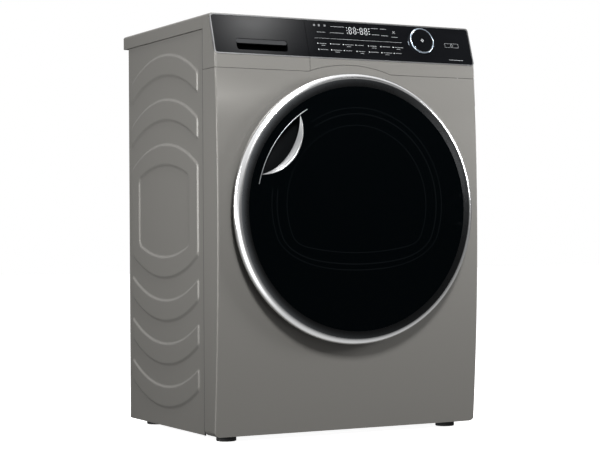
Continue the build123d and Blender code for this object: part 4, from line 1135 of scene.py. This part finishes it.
class DryerStage(bpy.types.Operator):
    """Lays the floor, lights the studio and places the camera"""
    bl_idname = "dryer.stage"
    bl_label = "Studio"

    def execute(self, context):
        deselect()
        bpy.ops.mesh.primitive_plane_add(size=30.0, location=(0, 0, 0))
        floor = context.object
        floor.name = "studio_floor"
        floor.data.materials.append(FINISHES["studio_floor"])
        floor.visible_glossy = False
        floor.visible_diffuse = False
        self.world(context.scene)
        for name, place, target, width, height, watts in LIGHTS:
            lamp = bpy.data.lights.new(name, "AREA")
            lamp.shape = "RECTANGLE"
            lamp.size, lamp.size_y = width, height
            lamp.energy = watts
            holder = bpy.data.objects.new(name, lamp)
            context.scene.collection.objects.link(holder)
            holder.location = place
            holder.rotation_euler = (Vector(target) - Vector(place)).to_track_quat("-Z", "Y").to_euler()
        self.camera(context.scene)
        context.scene.view_settings.view_transform = "Standard"
        return {"FINISHED"}

    def world(self, scene):
        """White to the eye, a soft dome to matt faces, and a room with lit sides to polished ones."""
        world = bpy.data.worlds.new("studio")
        scene.world = world
        world.use_nodes = True
        sky = Finish(world.node_tree)
        background = world.node_tree.nodes["Background"]
        direction = sky.add("ShaderNodeTexCoord", out="Generated")
        up = sky.axis("Z", direction)
        dome = 0.04 + 0.14 * (up * 0.5 + 0.5)

        def toward(way, tightness):
            """Round patch of the sky about a direction."""
            values = {0: direction, 1: way}
            near = sky.add("ShaderNodeVectorMath", {"operation": "DOT_PRODUCT"}, values, out="Value")
            return (near * near.above(0.0)) ** tightness

        fascia_lit = mirrored(FASCIA_FOOT + ACROSS * -0.20 + UP_SLOPE * 0.095, KNOB_AXIS)
        level = 0.12 + 1.15 * (up * up) ** 0.4 * (0.5 + 0.5 * up.above(0.0))
        level = level * (1.0 - 0.97 * toward((0.477, -0.66, 0.58), 9.0))
        level = level * (1.0 - 0.9 * toward((-0.1, 0.87, -0.48), 4.0))
        studio = level + 2.4 * toward((-0.80, -0.45, -0.40), 11.0) + 7.5 * toward(fascia_lit, 6000.0)
        seen = sky.add("ShaderNodeLightPath", out="Is Camera Ray")
        glossy = sky.add("ShaderNodeLightPath", out="Is Glossy Ray")
        strength = seen + (1.0 - seen) * (glossy * studio + (1.0 - glossy) * dome)
        background.inputs["Color"].default_value = (1, 1, 1, 1)
        sky.feed(background.inputs["Strength"], strength)

    def camera(self, scene):
        yaw, pitch, roll = 0.50678, 0.0072068, -0.0066915
        ahead = Vector((sin(yaw) * cos(pitch), cos(yaw) * cos(pitch), sin(pitch)))
        right = Vector((cos(yaw), -sin(yaw), 0))
        upward = right.cross(ahead)
        right_turned = right * cos(roll) + upward * sin(roll)
        up_turned = upward * cos(roll) - right * sin(roll)
        lens = bpy.data.cameras.new("studio_camera")
        lens.sensor_width = 36.0
        lens.lens = 101.68
        lens.shift_x = -0.1
        camera = bpy.data.objects.new("studio_camera", lens)
        scene.collection.objects.link(camera)
        turn = Matrix((right_turned, up_turned, -ahead)).transposed().to_4x4()
        camera.matrix_world = Matrix.Translation(EYE) @ turn
        scene.camera = camera


class DryerPanel(bpy.types.Panel):
    """Lists the pieces in the order they are made"""
    bl_idname = "VIEW3D_PT_dryer"
    bl_label = "Dryer"
    bl_space_type = "VIEW_3D"
    bl_region_type = "UI"
    bl_category = "Dryer"

    def draw(self, context):
        for group in (context.scene.dryer_sizes, context.scene.dryer_colours):
            for name in group.__annotations__:
                self.layout.prop(group, name)
        for operator in MAKERS:
            self.layout.operator(operator.bl_idname)


MAKERS = (DryerFinishes, DryerFrameNodes, DryerSidePanels, DryerDoorRing, DryerDoorGlass, DryerHandle,
          DryerWindowLines, DryerKnob, DryerDisplay, DryerMarks, DryerStage)
CLASSES = (DryerSizes, DryerColours) + MAKERS + (DryerPanel,)


def register():
    for cls in CLASSES:
        bpy.utils.register_class(cls)
    bpy.types.Scene.dryer_sizes = PointerProperty(type=DryerSizes)
    bpy.types.Scene.dryer_colours = PointerProperty(type=DryerColours)


def unregister():
    del bpy.types.Scene.dryer_colours
    del bpy.types.Scene.dryer_sizes
    for cls in reversed(CLASSES):
        bpy.utils.unregister_class(cls)


def main():
    register()
    bpy.ops.dryer.finishes()
    bpy.ops.dryer.frame_nodes()
    bpy.ops.dryer.side_panels()
    bpy.ops.dryer.door_ring()
    bpy.ops.dryer.door_glass()
    bpy.ops.dryer.handle()
    bpy.ops.dryer.window_lines()
    bpy.ops.dryer.knob()
    bpy.ops.dryer.display()
    bpy.ops.dryer.marks()
    bpy.ops.dryer.stage()


if __name__ == "__main__":
    main()
